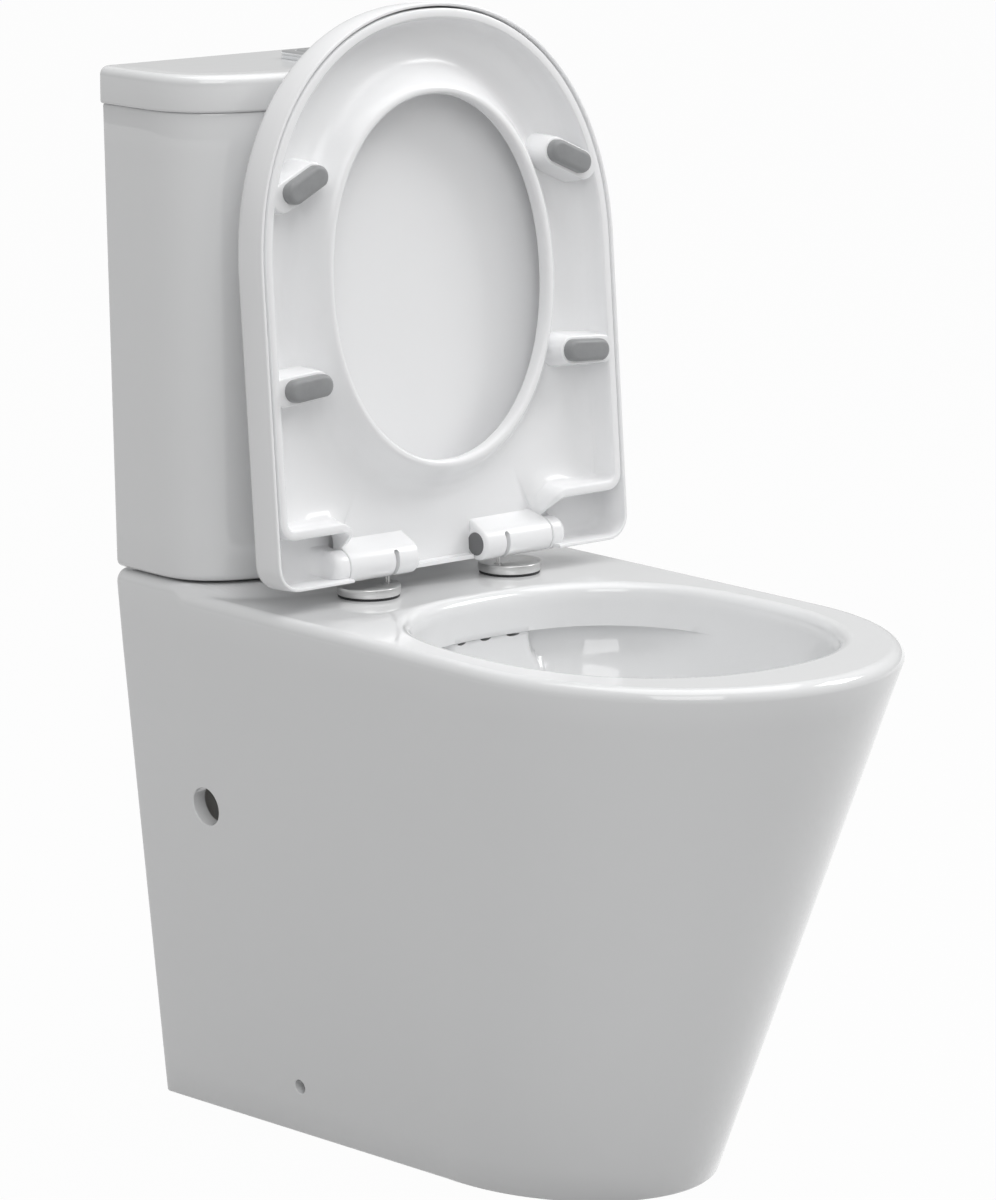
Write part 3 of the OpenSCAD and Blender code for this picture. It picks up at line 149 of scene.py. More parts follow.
class SeatSettings(bpy.types.PropertyGroup):
    """Sizes of the seat ring and its cover, drawn closed and turned up about the hinge."""

    cover_half: length("Cover half width", "Half the width of the cover", 179.5)
    cover_tip: length("Cover tip", "From the hinge axis to the cover's front", 431.6)
    cover_round: length("Cover front", "Length of the cover's rounded front", 202)
    cover_rear: length("Cover rear", "How far the cover reaches behind the axis", 11.4)
    cover_depth: length("Cover depth", "Depth of the cover with its skirt", 36.5)
    cover_top: length("Cover top", "Thickness of the cover's top", 3.4)
    skirt: length("Skirt", "Thickness of the cover's skirt", 3)
    gap: length("Gap", "Gap between the seat and the cover's skirt", 1.5)
    drop: length("Drop", "From the hinge axis down to the seat's underside", 19.1)
    thickness: length("Seat thickness", "Thickness of the seat ring", 29.6)
    opening_half: length("Opening half width", "Half the width of the seat's opening", 108)
    opening_back: length("Opening back", "From the hinge axis to the back of the opening", 73.0)
    opening_front: length("Opening front", "From the hinge axis to the front of the opening", 360.5)
    arm_rear: length("Arm rear", "The side arms end this far in front of the axis", 28.6)
    panel_rear: length("Panel rear", "How far the panel between the barrels reaches behind the axis", 7.5)
    panel_face: length("Panel face", "Height of the panel's lower face above the axis, seat down", 8.4)
    barrel_radius: length("Barrel radius", "Radius of the hinge barrels", 13.5)
    barrel_inner: length("Barrel inner end", "From the middle to a barrel's inner end", 34)
    barrel_outer: length("Barrel outer end", "From the middle to a barrel's outer end", 104)
    buffer_length: length("Buffer length", "Length of a seat buffer", 43)
    buffer_width: length("Buffer width", "Width of a seat buffer", 18)
    buffer_height: length("Buffer height", "Height of a seat buffer", 8.6)


class FinishSettings(bpy.types.PropertyGroup):
    """Colours of the finishes."""

    glaze: colour("Glaze", "White gloss glaze of the pan and cistern", (0.83, 0.835, 0.84))
    bisque: colour("Bisque", "Unglazed ceramic inside the skirt", (0.7, 0.68, 0.64))
    seat: colour("Seat", "Gloss moulded seat and cover", (0.915, 0.918, 0.925))
    buffer: colour("Buffer", "Soft grey buffers", (0.28, 0.285, 0.29))
    damper: colour("Soft-close cylinder", "Grey moulded cylinders", (0.16, 0.162, 0.166))
    rubber: colour("Rubber", "Black sealing rubber", (0.02, 0.02, 0.022))
    seal: colour("Valve seal", "Red silicone seal", (0.35, 0.04, 0.03))
    moulding: colour("Valve body", "Off-white valve mouldings", (0.72, 0.73, 0.72))
    accent: colour("Valve accent", "Blue moving parts of the valves", (0.03, 0.13, 0.4))
    brass: colour("Brass", "Bolts and nuts", (0.72, 0.5, 0.2))
    steel: colour("Steel", "Hinge metal", (0.72, 0.72, 0.715))
    chrome: colour("Chrome", "Button plate and buttons", (0.8, 0.81, 0.82))


class StageSettings(bpy.types.PropertyGroup):
    """Camera, lamps and floor."""

    camera_place: bpy.props.FloatVectorProperty(
        name="Camera", description="Where the camera stands", default=(-2.7359, -3.1528, 1.3234),
        unit="LENGTH",
    )
    camera_down: bpy.props.FloatProperty(
        name="Tilt", description="How far the camera looks down", default=math.radians(11.9), subtype="ANGLE"
    )
    camera_turn: bpy.props.FloatProperty(
        name="Turn", description="How far the camera is turned from the wall", default=math.radians(-40.4),
        subtype="ANGLE",
    )
    lens: number("Lens", "Focal length in millimetres on a 36 mm frame", 165.0)
    sky: number("Sky", "Strength of the even light from all round", 0.48)
    key: number("Key lamp", "Power of the large lamp above the right shoulder, in watts", 44.0)
    ceiling: number("Overhead lamp", "Power of the wide lamp overhead, in watts", 28.0)
    fill: number("Fill lamp", "Power of the soft lamp in front, in watts", 42.0)


# ---------------------------------------------------------------- small sums

def lerp(a, b, t):
    """The value a share t of the way from a to b."""
    return a + (b - a) * t


def ease(t):
    """Eases from 0 to 1, level at both ends."""
    t = min(max(t, 0.0), 1.0)
    return t * t * (3 - 2 * t)


def from_wall(x, distance, z):
    """A place given by its distance from the wall."""
    return Vector((x, WALL_Y - distance, z))


def mirrored(half):
    """A closed outline from the half on the right, whose first and last points are on the middle plane."""
    return half + [(-x, y) for x, y in reversed(half[1:-1])]


def shifted(outline, inset, shares=None):
    """A clockwise outline with every point moved inwards along its own normal, by its share of the inset."""
    count, whole = len(outline), inset
    moved = []
    for i, (x, y) in enumerate(outline):
        (ax, ay), (bx, by) = outline[i - 1], outline[(i + 1) % count]
        along = Vector((bx - ax, by - ay)).normalized()
        inset = whole * (shares[i] if shares else 1.0)
        moved.append((x + along.y * inset, y - along.x * inset))
    return moved


def blended(first, second, t):
    """An outline a share t of the way between two."""
    return [(lerp(a, c, t), lerp(b, d, t)) for (a, b), (c, d) in zip(first, second)]


# ---------------------------------------------------------------- mesh tools

def first_ring(bm, places):
    """A closed ring of new vertices joined by edges."""
    ring = [bm.verts.new(place) for place in places]
    for pair in zip(ring, ring[1:] + ring[:1]):
        bm.edges.new(pair)
    return ring


def next_ring(bm, ring, places, finish=0):
    """Extrudes a closed ring and puts each new vertex at its place."""
    edges = [bm.edges.get(pair) for pair in zip(ring, ring[1:] + ring[:1])]
    made = bmesh.ops.extrude_edge_only(bm, edges=edges)["geom"]
    fresh = {item for item in made if isinstance(item, bmesh.types.BMVert)}
    for item in made:
        if isinstance(item, bmesh.types.BMFace):
            item.material_index = finish
    grown = [next(e.other_vert(v) for e in v.link_edges if e.other_vert(v) in fresh) for v in ring]
    for vertex, place in zip(grown, places):
        vertex.co = place
    return grown


def close_ring(bm, ring, finish=0):
    """Fills a ring with one face."""
    edges = [bm.edges.get(pair) for pair in zip(ring, ring[1:] + ring[:1])]
    for face in bmesh.ops.contextual_create(bm, geom=edges)["faces"]:
        face.material_index = finish


def lofted(rings, closed=True, bm=None):
    """A bmesh through rings of places, in order, with its two ends filled where it's closed."""
    bm = bm or bmesh.new()
    ring = first_ring(bm, rings[0])
    if closed:
        close_ring(bm, ring)
    for places in rings[1:]:
        ring = next_ring(bm, ring, places)
    if closed:
        close_ring(bm, ring)
    return bm


def block(bm, low, high):
    """A box between two corners, as the list of its vertices."""
    made = bmesh.ops.create_cube(bm, size=1.0)["verts"]
    bmesh.ops.scale(bm, vec=Vector(high) - Vector(low), verts=made)
    bmesh.ops.translate(bm, vec=(Vector(high) + Vector(low)) / 2, verts=made)
    return made


def eased_edges(bm, width):
    """Rounds every edge that turns by more than 30 degrees."""
    sharp = [e for e in bm.edges if len(e.link_faces) == 2 and e.calc_face_angle(0.0) > math.radians(30)]
    bmesh.ops.bevel(
        bm, geom=sharp, offset=width, offset_type="OFFSET", affect="EDGES", segments=3, profile=0.5,
        material=-1, clamp_overlap=True,
    )


def turned(bm, profile, centre, axis, steps=64):
    """Spins a profile of (radius, height) pairs once about an axis through a place."""
    axis = Vector(axis).normalized()
    side = axis.orthogonal().normalized()
    places = [Vector(centre) + side * r + axis * h for r, h in profile]
    verts = [bm.verts.new(place) for place in places]
    edges = [bm.edges.new(pair) for pair in zip(verts, verts[1:])]
    bmesh.ops.spin(
        bm, geom=verts + edges, cent=centre, axis=axis, angle=math.tau, steps=steps, use_merge=True,
        use_duplicate=False,
    )
    bmesh.ops.remove_doubles(bm, verts=bm.verts, dist=1e-6)


def rod(bm, centre, radius, low, high, steps=32, axis=(0, 0, 1)):
    """A plain cylinder about an axis through a place, between two heights above it."""
    turned(bm, [(0, low), (radius, low), (radius, high), (0, high)], centre, axis, steps)


def swept(path, radii):
    """A closed round tube along a path in the middle plane, given as (distance from the wall, height)."""
    sides = 40
    rings = []
    for i, (d, z) in enumerate(path):
        before, after = path[max(i - 1, 0)], path[min(i + 1, len(path) - 1)]
        along = Vector((0, before[0] - after[0], after[1] - before[1])).normalized()
        up = along.cross(Vector((1, 0, 0))).normalized()
        rings.append([
            from_wall(0, d, z) + (Vector((1, 0, 0)) * math.cos(a) + up * math.sin(a)) * radii[i]
            for a in (math.tau * k / sides for k in range(sides))
        ])
    return lofted(rings)


def smooth_path(points, steps):
    """A curve through points, by Catmull and Rom's rule."""
    padded = [points[0], *points, points[-1]]
    path = []
    for i in range(len(points) - 1):
        p = [Vector(q) for q in padded[i:i + 4]]
        for k in range(steps):
            t = k / steps
            path.append(tuple(
                (2 * p[1] + (p[2] - p[0]) * t + (2 * p[0] - 5 * p[1] + 4 * p[2] - p[3]) * t ** 2
                 + (3 * p[1] - p[0] - 3 * p[2] + p[3]) * t ** 3) / 2
            ))
    return path + [tuple(points[-1])]


def placed(bm, name, finishes=(), angle=38.0):
    """Turns a bmesh into an object with outward, smooth faces and sharp creases."""
    bmesh.ops.recalc_face_normals(bm, faces=bm.faces)
    if bm.calc_volume(signed=True) < 0:
        bmesh.ops.reverse_faces(bm, faces=bm.faces)
    for face in bm.faces:
        face.smooth = True
    mesh = bpy.data.meshes.new(name)
    bm.to_mesh(mesh)
    bm.free()
    for finish in finishes:
        mesh.materials.append(finish)
    mesh.set_sharp_from_angle(angle=math.radians(angle))
    piece = bpy.data.objects.new(name, mesh)
    bpy.context.scene.collection.objects.link(piece)
    return piece


def combined(piece, tool, operation, angle=38.0):
    """Adds or cuts away a closed shape, for good. The tool is used up."""
    if isinstance(tool, bmesh.types.BMesh):
        tool = placed(tool, "tool")
    change = piece.modifiers.new("Combine", "BOOLEAN")
    change.object = tool
    change.operation = operation
    change.solver = "EXACT"
    graph = bpy.context.evaluated_depsgraph_get()
    mesh = bpy.data.meshes.new_from_object(piece.evaluated_get(graph), depsgraph=graph)
    piece.modifiers.clear()
    used = [piece.data, tool.data]
    piece.data = mesh
    bpy.data.objects.remove(tool)
    for old in used:
        bpy.data.meshes.remove(old)
    if not mesh.polygons:
        raise RuntimeError(f"{piece.name}: nothing is left after {operation}")
    mesh.set_sharp_from_angle(angle=math.radians(angle))
    return piece


def belongs(piece, body, slot, *nodes):
    """Says what the piece moves with and which nodes it stands for. The slot is not used."""
    piece.data.name = piece.name
    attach(piece, body)
    if nodes:
        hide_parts(*nodes)
    return piece


# ---------------------------------------------------------------- finishes

class Socket:
    """A shader socket that takes part in sums. Each sum adds its Math node."""

    def __init__(self, board, socket):
        self.board = board
        self.socket = socket

    def sum(self, operation, *terms):
        """A Math node on numbers and sockets."""
        return self.board.add("ShaderNodeMath", {"operation": operation}, dict(enumerate(terms)))

    def __add__(self, other):
        return self.sum("ADD", self, other)

    __radd__ = __add__

    def __mul__(self, other):
        return self.sum("MULTIPLY", self, other)


class Board:
    """A material's node tree: its shader and the nodes that feed it."""

    def __init__(self, name, **constants):
        self.material = bpy.data.materials.new(name)
        self.material.use_nodes = True
        self.tree = self.material.node_tree
        self.shader = self.tree.nodes["Principled BSDF"]
        for socket, value in constants.items():
            self.shader.inputs[socket.replace("_", " ")].default_value = value

    def add(self, kind, settings=None, inputs=None, output=0):
        """Any node: its type, its settings, then the values or links of its sockets."""
        node = self.tree.nodes.new(kind)
        for name, value in (settings or {}).items():
            setattr(node, name, value)
        for key, value in (inputs or {}).items():
            if isinstance(value, Socket):
                self.tree.links.new(value.socket, node.inputs[key])
            else:
                node.inputs[key].default_value = value
        return Socket(self, node.outputs[output])

    def feed(self, **links):
        """Links sockets to the shader's own."""
        for socket, value in links.items():
            self.tree.links.new(value.socket, self.shader.inputs[socket.replace("_", " ")])
        return self.material

    def place(self, scale=(1, 1, 1)):
        """Object coordinates, stretched."""
        here = self.add("ShaderNodeTexCoord", output="Object")
        return self.add("ShaderNodeVectorMath", {"operation": "MULTIPLY"}, {0: here, 1: tuple(scale)})

    def noise(self, scale, detail=2.0, roughness=0.5, where=None):
        """A noise pattern of about one blotch per 1/scale metres."""
        inputs = {"Vector": where or self.place(), "Scale": scale, "Detail": detail, "Roughness": roughness}
        return self.add("ShaderNodeTexNoise", {}, inputs, output="Fac")

    def specks(self, scale, size):
        """Small round specks: 1 in a speck and 0 between them."""
        inputs = {"Vector": self.place(), "Scale": scale, "Randomness": 1.0}
        distance = self.add("ShaderNodeTexVoronoi", {}, inputs, output="Distance")
        return self.add("ShaderNodeMath", {"operation": "LESS_THAN"}, {0: distance, 1: size})

    def between(self, factor, first, second):
        """Mixes two colours."""
        ends = [end if isinstance(end, Socket) else (*end, 1.0) for end in (first, second)]
        inputs = {"Factor": factor, "A": ends[0], "B": ends[1]}
        return self.add("ShaderNodeMix", {"data_type": "RGBA"}, inputs, output="Result")

    def bumps(self, height, distance, strength, under=None):
        """A Bump node from a height, on top of the bumps under it."""
        inputs = {"Height": height, "Distance": distance, "Strength": strength}
        if under:
            inputs["Normal"] = under
        return self.add("ShaderNodeBump", {}, inputs)


def shade(tint, share):
    """A colour made lighter or darker."""
    return tuple(min(c * share, 1.0) for c in tint)


def glaze(tint):
    """White vitreous glaze: even colour, a slow unevenness in the gloss and rare pinholes."""
    board = Board("white_glaze", IOR=1.52, Coat_Weight=0.5, Coat_Roughness=0.02)
    cloud = board.noise(7.0, detail=3.0)
    pin = board.specks(95.0, size=0.018)
    tone = board.between(cloud, shade(tint, 0.985), shade(tint, 1.01))
    orange_peel = board.noise(70.0, detail=2.0)
    slow = board.noise(11.0, detail=1.0)
    bump = board.bumps(slow, 0.0009, 0.35)
    return board.feed(
        Base_Color=board.between(pin * 0.35, tone, shade(tint, 0.6)),
        Roughness=0.05 + cloud * 0.04 + orange_peel * 0.02,
        Normal=board.bumps(orange_peel, 0.00012, 0.25, bump),
    )


def bisque(tint):
    """Unglazed ceramic: warm, matt and a little gritty, with casting marks."""
    board = Board("bare_ceramic", IOR=1.45)
    cloud = board.noise(16.0, detail=5.0, roughness=0.6)
    grain = board.noise(900.0, detail=3.0)
    return board.feed(
        Base_Color=board.between(cloud, shade(tint, 0.86), shade(tint, 1.1)),
        Roughness=0.62 + grain * 0.25,
        Normal=board.bumps(grain + cloud * 2.0, 0.0004, 0.5),
    )


def gloss_moulding(name, tint, rough, grain_scale, spread=0.012):
    """Moulded plastic: slight flow lines, fine texture and faint handling marks."""
    board = Board(name, IOR=1.5)
    flow = board.noise(9.0, detail=4.0, roughness=0.55)
    grain = board.noise(grain_scale, detail=2.0)
    rub = board.noise(38.0, detail=6.0, roughness=0.7)
    return board.feed(
        Base_Color=board.between(flow, shade(tint, 1 - spread), shade(tint, 1 + spread)),
        Roughness=rough + flow * 0.04 + rub * 0.05,
        Normal=board.bumps(grain, 0.00006, 0.3, board.bumps(flow, 0.0006, 0.15)),
    )


def soft_rubber(name, tint, rough):
    """Rubber: matt, with a fine grain, dust in its hollows and paler rubbed patches."""
    board = Board(name, IOR=1.47, Sheen_Weight=0.12)
    grain = board.noise(1400.0, detail=2.0)
    cloud = board.noise(55.0, detail=5.0, roughness=0.65)
    return board.feed(
        Base_Color=board.between(cloud, shade(tint, 0.82), shade(tint, 1.2)),
        Roughness=rough + cloud * 0.14,
        Normal=board.bumps(grain, 0.00008, 0.6, board.bumps(cloud, 0.0003, 0.2)),
    )


def brushed(name, tint, rough, stretch):
    """Brushed metal: streaks along one way, made by stretching a noise."""
    board = Board(name, Metallic=1.0)
    streaks = board.noise(1.0, detail=4.0, roughness=0.6, where=board.place(scale=stretch))
    smear = board.noise(45.0, detail=4.0)
    return board.feed(
        Base_Color=board.between(streaks, shade(tint, 0.8), shade(tint, 1.12)),
        Roughness=rough + streaks * 0.16 + smear * 0.05,
        Normal=board.bumps(streaks, 0.00005, 0.5),
    )


def plated(tint):
    """Polished chrome plate with faint hairlines and a breath of haze."""
    board = Board("chrome_plate", Metallic=1.0)
    haze = board.noise(26.0, detail=5.0, roughness=0.6)
    hair = board.noise(1.0, detail=3.0, roughness=0.7, where=board.place(scale=(60, 2600, 2600)))
    return board.feed(
        Base_Color=board.between(haze, shade(tint, 0.97), shade(tint, 1.03)),
        Roughness=0.05 + haze * 0.05 + hair * 0.03,
        Normal=board.bumps(hair, 0.00001, 0.3),
    )


finishes = {}


def make_finishes(tints):
    """Every finish, by the record's material slot, with the unglazed ceramic beside them."""
    finishes.update({
        "ceramic": glaze(tints.glaze),
        "bisque": bisque(tints.bisque),
        "seat_plastic": gloss_moulding("seat_moulding", tints.seat, rough=0.17, grain_scale=420.0),
        "grey_rubber": soft_rubber("grey_buffer", tints.buffer, rough=0.34),
        "damper_plastic": gloss_moulding("dark_moulding", tints.damper, rough=0.36, grain_scale=700.0,
                                         spread=0.08),
        "hinge_steel": brushed("brushed_steel", tints.steel, rough=0.2, stretch=(90, 90, 2400)),
        "spring_steel": brushed("drawn_wire", shade(tints.steel, 0.8), rough=0.3, stretch=(900, 900, 300)),
        "black_rubber": soft_rubber("black_rubber", tints.rubber, rough=0.55),
        "brass": brushed("turned_brass", tints.brass, rough=0.26, stretch=(300, 300, 2600)),
        "chrome": plated(tints.chrome),
        "valve_plastic": gloss_moulding("valve_moulding", tints.moulding, rough=0.38, grain_scale=500.0,
                                        spread=0.03),
        "blue_plastic": gloss_moulding("blue_moulding", tints.accent, rough=0.36, grain_scale=500.0,
                                       spread=0.06),
        "seal_rubber": soft_rubber("red_seal", tints.seal, rough=0.45),
    })


# ---------------------------------------------------------------- pan

PAN_STEPS = (64, 4, 48, 40)  # points of half an outline: along the back, round its corner, side, front
PAN_CORNER = 4 * MM          # rounding of the pan's and cistern's upright back edges
SHELF_POWER = 3.3            # roundness in plan of the cistern's front and of the shelf below it
BACK_RISE = (0.38, 0.05)     # where the skirt starts to follow the shelf's rise, and over what height
HOLE_FLARE = 0.8 * MM        # how far a hole's edge is rounded out
UNDER_BLEND = 12 * MM        # radius between the skirt's inside and the deck's underside
SLOT_DROP = 3.2 * MM         # how far the spreader's slots reach down from the lip
SLOTS = ((-0.0293, 0.0054), (-0.0035, 0.0062), (0.0245, 0.0078))     # their middles and half widths
GLAZED, BARE = 0, 1          # the pan's two finishes


def d_half(half_back, half_mid, d_back, d_mid, d_tip, power, corner, steps):
    """Half of a straight-backed outline, from the middle of its back round to its tip."""
    back, turn, side, front = steps
    points = [(lerp(0, half_back - corner, i / back), d_back) for i in range(back)]
    for i in range(turn):
        a = math.pi / 2 * i / turn
        points.append((half_back - corner + corner * math.sin(a), d_back + corner * (1 - math.cos(a))))
    for i in range(side):
        points.append((lerp(half_back, half_mid, i / side), lerp(d_back + corner, d_mid, i / side)))
    for i in range(front + 1):
        a = math.pi / 2 * i / front
        points.append((
            half_mid * max(math.cos(a), 0.0) ** (2 / power),
            d_mid + (d_tip - d_mid) * math.sin(a) ** (2 / power),
        ))
    return points


class PanShape:
    """The pan's surfaces, worked out from its settings."""

    def __init__(self, sizes):
        self.s = sizes
        self.top_row = sizes.rim_height - sizes.rim_edge
        self.deck_under = sizes.rim_height - sizes.deck
        self.mid = (sizes.bowl_back + sizes.bowl_tip) / 2
        self.reach = (sizes.bowl_tip - sizes.bowl_back) / 2

    def lean(self, z):
        """How far the pan has spread at a height, from 0 at its foot to 1 at its rim."""
        return min(z / self.top_row, 1.0)

    def outline(self, z, inset):
        """The closed outline at a height, drawn in by inset, as (x, distance from the wall)."""
        s, f = self.s, self.lean(z)
        half = d_half(
            lerp(s.foot_width / 2, s.width / 2, f) - inset,
            lerp(s.foot_front_width / 2, s.width / 2, f) - inset,
            0.0, lerp(s.foot_length - s.foot_round, s.length - s.rim_round, f),
            lerp(s.foot_length, s.length, f) - inset, 2.0, PAN_CORNER, PAN_STEPS,
        )
        return mirrored(half)

    def side_half(self, d, z):
        """Half the pan's width at a distance from the wall and a height."""
        s, f = self.s, self.lean(z)
        t = d / lerp(s.foot_length - s.foot_round, s.length - s.rim_round, f)
        return lerp(lerp(s.foot_width, s.foot_front_width, t) / 2, s.width / 2, f)

    def rise(self, x, d):
        """How far the deck stands above the rim: nothing at the bowl, the full rise under the cistern."""
        tank = bpy.context.scene.toilet_cistern
        half = tank.bottom_width / 2
        across = min(abs(x), half - 3 * MM) / half
        room = (1 - across ** SHELF_POWER) ** (1 / SHELF_POWER)
        ahead = (d - tank.side) / room - (tank.bottom_depth - tank.side)
        share = (self.s.shelf_slope - ahead) / (self.s.shelf_slope - 4 * MM)
        return self.s.shelf_rise * shelf_profile(share)

    def opening(self, outline, grow=0.0, share=1.0):
        """The bowl's outline with one point on the ray to each point of another outline."""
        s = self.s
        half = lerp(s.sump_radius, s.bowl_half, share) + grow
        reach = lerp(s.sump_radius, self.reach, share) + grow
        middle = lerp(s.sump_from_wall, self.mid, share)
        points = []
        for x, d in outline:
            a = math.atan2((d - self.mid) / self.reach, x / s.bowl_half)
            power = lerp(2.0, 2.2 if math.sin(a) > 0 else 2.6, share)
            r = ((abs(math.cos(a)) / half) ** power + (abs(math.sin(a)) / reach) ** power) ** (-1 / power)
            points.append((r * math.cos(a), middle + r * math.sin(a)))
        return points

    def bowl_wall(self, x, z):
        """Distance from the wall of the bowl's back at a place."""
        s = self.s
        share = bowl_share((s.rim_height - z) / (s.rim_height - s.sump_height))
        half = lerp(s.sump_radius, s.bowl_half, share)
        reach = lerp(s.sump_radius, self.reach, share)
        power = lerp(2.0, 2.6, share)
        return lerp(s.sump_from_wall, self.mid, share) - reach * (1 - (abs(x) / half) ** power) ** (1 / power)


def shelf_profile(share):
    """The slope's side view: a hollow rise, then from 0.64 a curve that keeps its slope and ends level."""
    if share <= 0:
        return 0.0
    if share < 0.8:
        return share ** 2
    t = min((share - 0.8) / 0.28, 1.0)
    return 0.64 + 0.28 * 1.6 * (t - 2 * t ** 2 + t ** 3) + 0.36 * (3 * t ** 2 - 2 * t ** 3)


def bowl_share(depth):
    """How open the bowl is at a share of its depth: 1 at the rim and 0 at the bottom."""
    return (1 - min(depth, 1.0) ** 1.6) ** 1.1


# Rows of the foot's edge, as (height, inset) in millimetres
FOOT_EDGE = [(0.0, 8.0), (0.0, 2.4), (0.6, 0.8), (2.0, 0.1)]
# Rows of the smooth band above the lip, as drops from the rim in millimetres
BAND = (10, 15, 20, 25, 29)
# The flush channel under the lip, as (drop from the lip in millimetres, share of the channel's depth)
CHANNEL = [(0.4, 0.02), (0.8, 0.2), (1.0, 0.55), (1.6, 0.82), (4.0, 0.96), (9.0, 1.0), (14.0, 0.97),
           (19.0, 0.88), (24.0, 0.73), (30.0, 0.52), (36.0, 0.32), (43.0, 0.14), (50.0, 0.04), (58.0, 0.0)]
# The dished floor of the sump, as (share of the way to its middle, drop in millimetres)
SUMP_FLOOR = [(0.25, 3.0), (0.5, 4.8), (0.75, 5.8), (0.95, 6.0)]


def channel_share(x, d, mid):
    """How deep the flush channel is at a place: full behind, gone at the sides."""
    a = math.degrees(math.atan2(mid - d, abs(x)))
    return ease((a - 22) / 30)


def beside_spreader(x, drop, half):
    """How far the flush channel opens beside the spreader: nearly nothing on its wall, 1 past its end."""
    foot = min(max(drop - 12 * MM, 0.0) / (19 * MM), 2.0)
    start = half - 4 * MM + 10 * MM * foot ** 2
    t = min(max((abs(x) - start) / (9 * MM), 0.0), 1.0)
    return 0.13 + 0.87 * (1 - math.sqrt(1 - t ** 2))


def level(shape, outline, z, share=0.0):
    """Places at a height, raised near the wall by a share of the shelf's rise."""
    return [from_wall(x, d, z + shape.rise(x, d) * share) for x, d in outline]


def outside_rows(shape, blank):
    """Rows from the foot up the skirt and over the deck into the bowl's edge, as (places, finish)."""
    s = shape.s
    start, reach = BACK_RISE
    rows = []
    for z, inset in FOOT_EDGE:
        finish = BARE if z == 0 else GLAZED
        rows.append((level(shape, shape.outline(z * MM, inset * MM), z * MM), finish))
    count = 18
    for i in range(1, count + 1):
        z = lerp(4 * MM, shape.top_row, i / count)
        rows.append((level(shape, shape.outline(z, 0), z, ease((z - start) / reach)), GLAZED))
    for i in range(1, 9):
        a = math.pi / 2 * i / 8
        z = shape.top_row + s.rim_edge * math.sin(a)
        rows.append((level(shape, shape.outline(z, s.rim_edge * (1 - math.cos(a))), z, 1.0), GLAZED))
    outer = shape.outline(s.rim_height, s.rim_edge)
    inner = shape.opening(blank, s.bowl_edge)
    count = 64
    for i in range(1, count + 1):
        rows.append((level(shape, blended(outer, inner, i / count), s.rim_height, 1.0), GLAZED))
    for i in range(1, 7):
        a = math.pi / 2 * i / 6
        z = s.rim_height - s.bowl_edge * (1 - math.cos(a))
        rows.append((level(shape, shape.opening(blank, s.bowl_edge * (1 - math.sin(a))), z), GLAZED))
    return rows


def bowl_rows(shape, blank):
    """Rows down the bowl: the band, the flush channel, the wall below it and the sump's floor."""
    s = shape.s
    depth = s.rim_height - s.sump_height
    lip = s.rim_height - s.lip_depth

    def inside(z, cut):
        """The bowl's inside at a height, cut back by a share of the channel's depth."""
        open_share = bowl_share((s.rim_height - z) / depth)
        plain = shape.opening(blank, 0.0, open_share)
        deep = shape.opening(blank, s.channel_depth, open_share)
        places = []
        for p, q in zip(plain, deep):
            share = cut * channel_share(*p, shape.mid) * beside_spreader(p[0], lip - z, s.spreader_half)
            places.append(from_wall(*blended([p], [q], share)[0], z))
        return places

    rows = [inside(s.rim_height - drop * MM, 0.0) for drop in BAND]
    rows += [inside(lip - drop * MM, cut) for drop, cut in CHANNEL]
    low = lip - CHANNEL[-1][0] * MM
    count = 22
    rows += [inside(lerp(low, s.sump_height, (i / count) ** 0.9), 0.0) for i in range(1, count + 1)]
    sump = shape.opening(blank, 0.0, 0.0)
    middle = [(0.0, s.sump_from_wall)] * len(sump)
    for share, drop in SUMP_FLOOR:
        rows.append(level(shape, blended(sump, middle, share), s.sump_height - drop * MM))
    return rows


def under_rows(shape, blank):
    """Rows up the skirt's inside, in under the deck and down the bowl's outside."""
    s = shape.s
    turn = shape.deck_under - UNDER_BLEND
    shell, shell_low = 24 * MM, 10 * MM     # from the bowl's inside to its outside, above and below
    rows = []
    for z, inset in [(0.0, s.wall - 2 * MM), (1.5 * MM, s.wall)]:
        rows.append(level(shape, shape.outline(z, inset), z))
    for i in range(1, 11):
        z = lerp(1.5 * MM, turn, i / 10)
        rows.append(level(shape, shape.outline(z, s.wall), z))
    for i in range(1, 5):
        a = math.pi / 2 * i / 4
        z = shape.deck_under - UNDER_BLEND * (1 - math.sin(a))
        rows.append(level(shape, shape.outline(z, s.wall + UNDER_BLEND * (1 - math.cos(a))), z))
    outer = shape.outline(shape.deck_under, s.wall + UNDER_BLEND)
    inner = shape.opening(blank, shell)
    for share in (0.25, 0.5, 0.75, 0.94, 1.0):
        drop = 6 * MM if share == 1.0 else 0.0
        rows.append(level(shape, blended(outer, inner, share), shape.deck_under - drop))
    for i in range(1, 17):
        share = i / 16
        z = lerp(turn, s.sump_height - 12 * MM, share)
        grow = lerp(shell, shell_low, ease(share * 3))
        rows.append(level(shape, shape.opening(blank, grow, bowl_share(share)), z))
    return rows


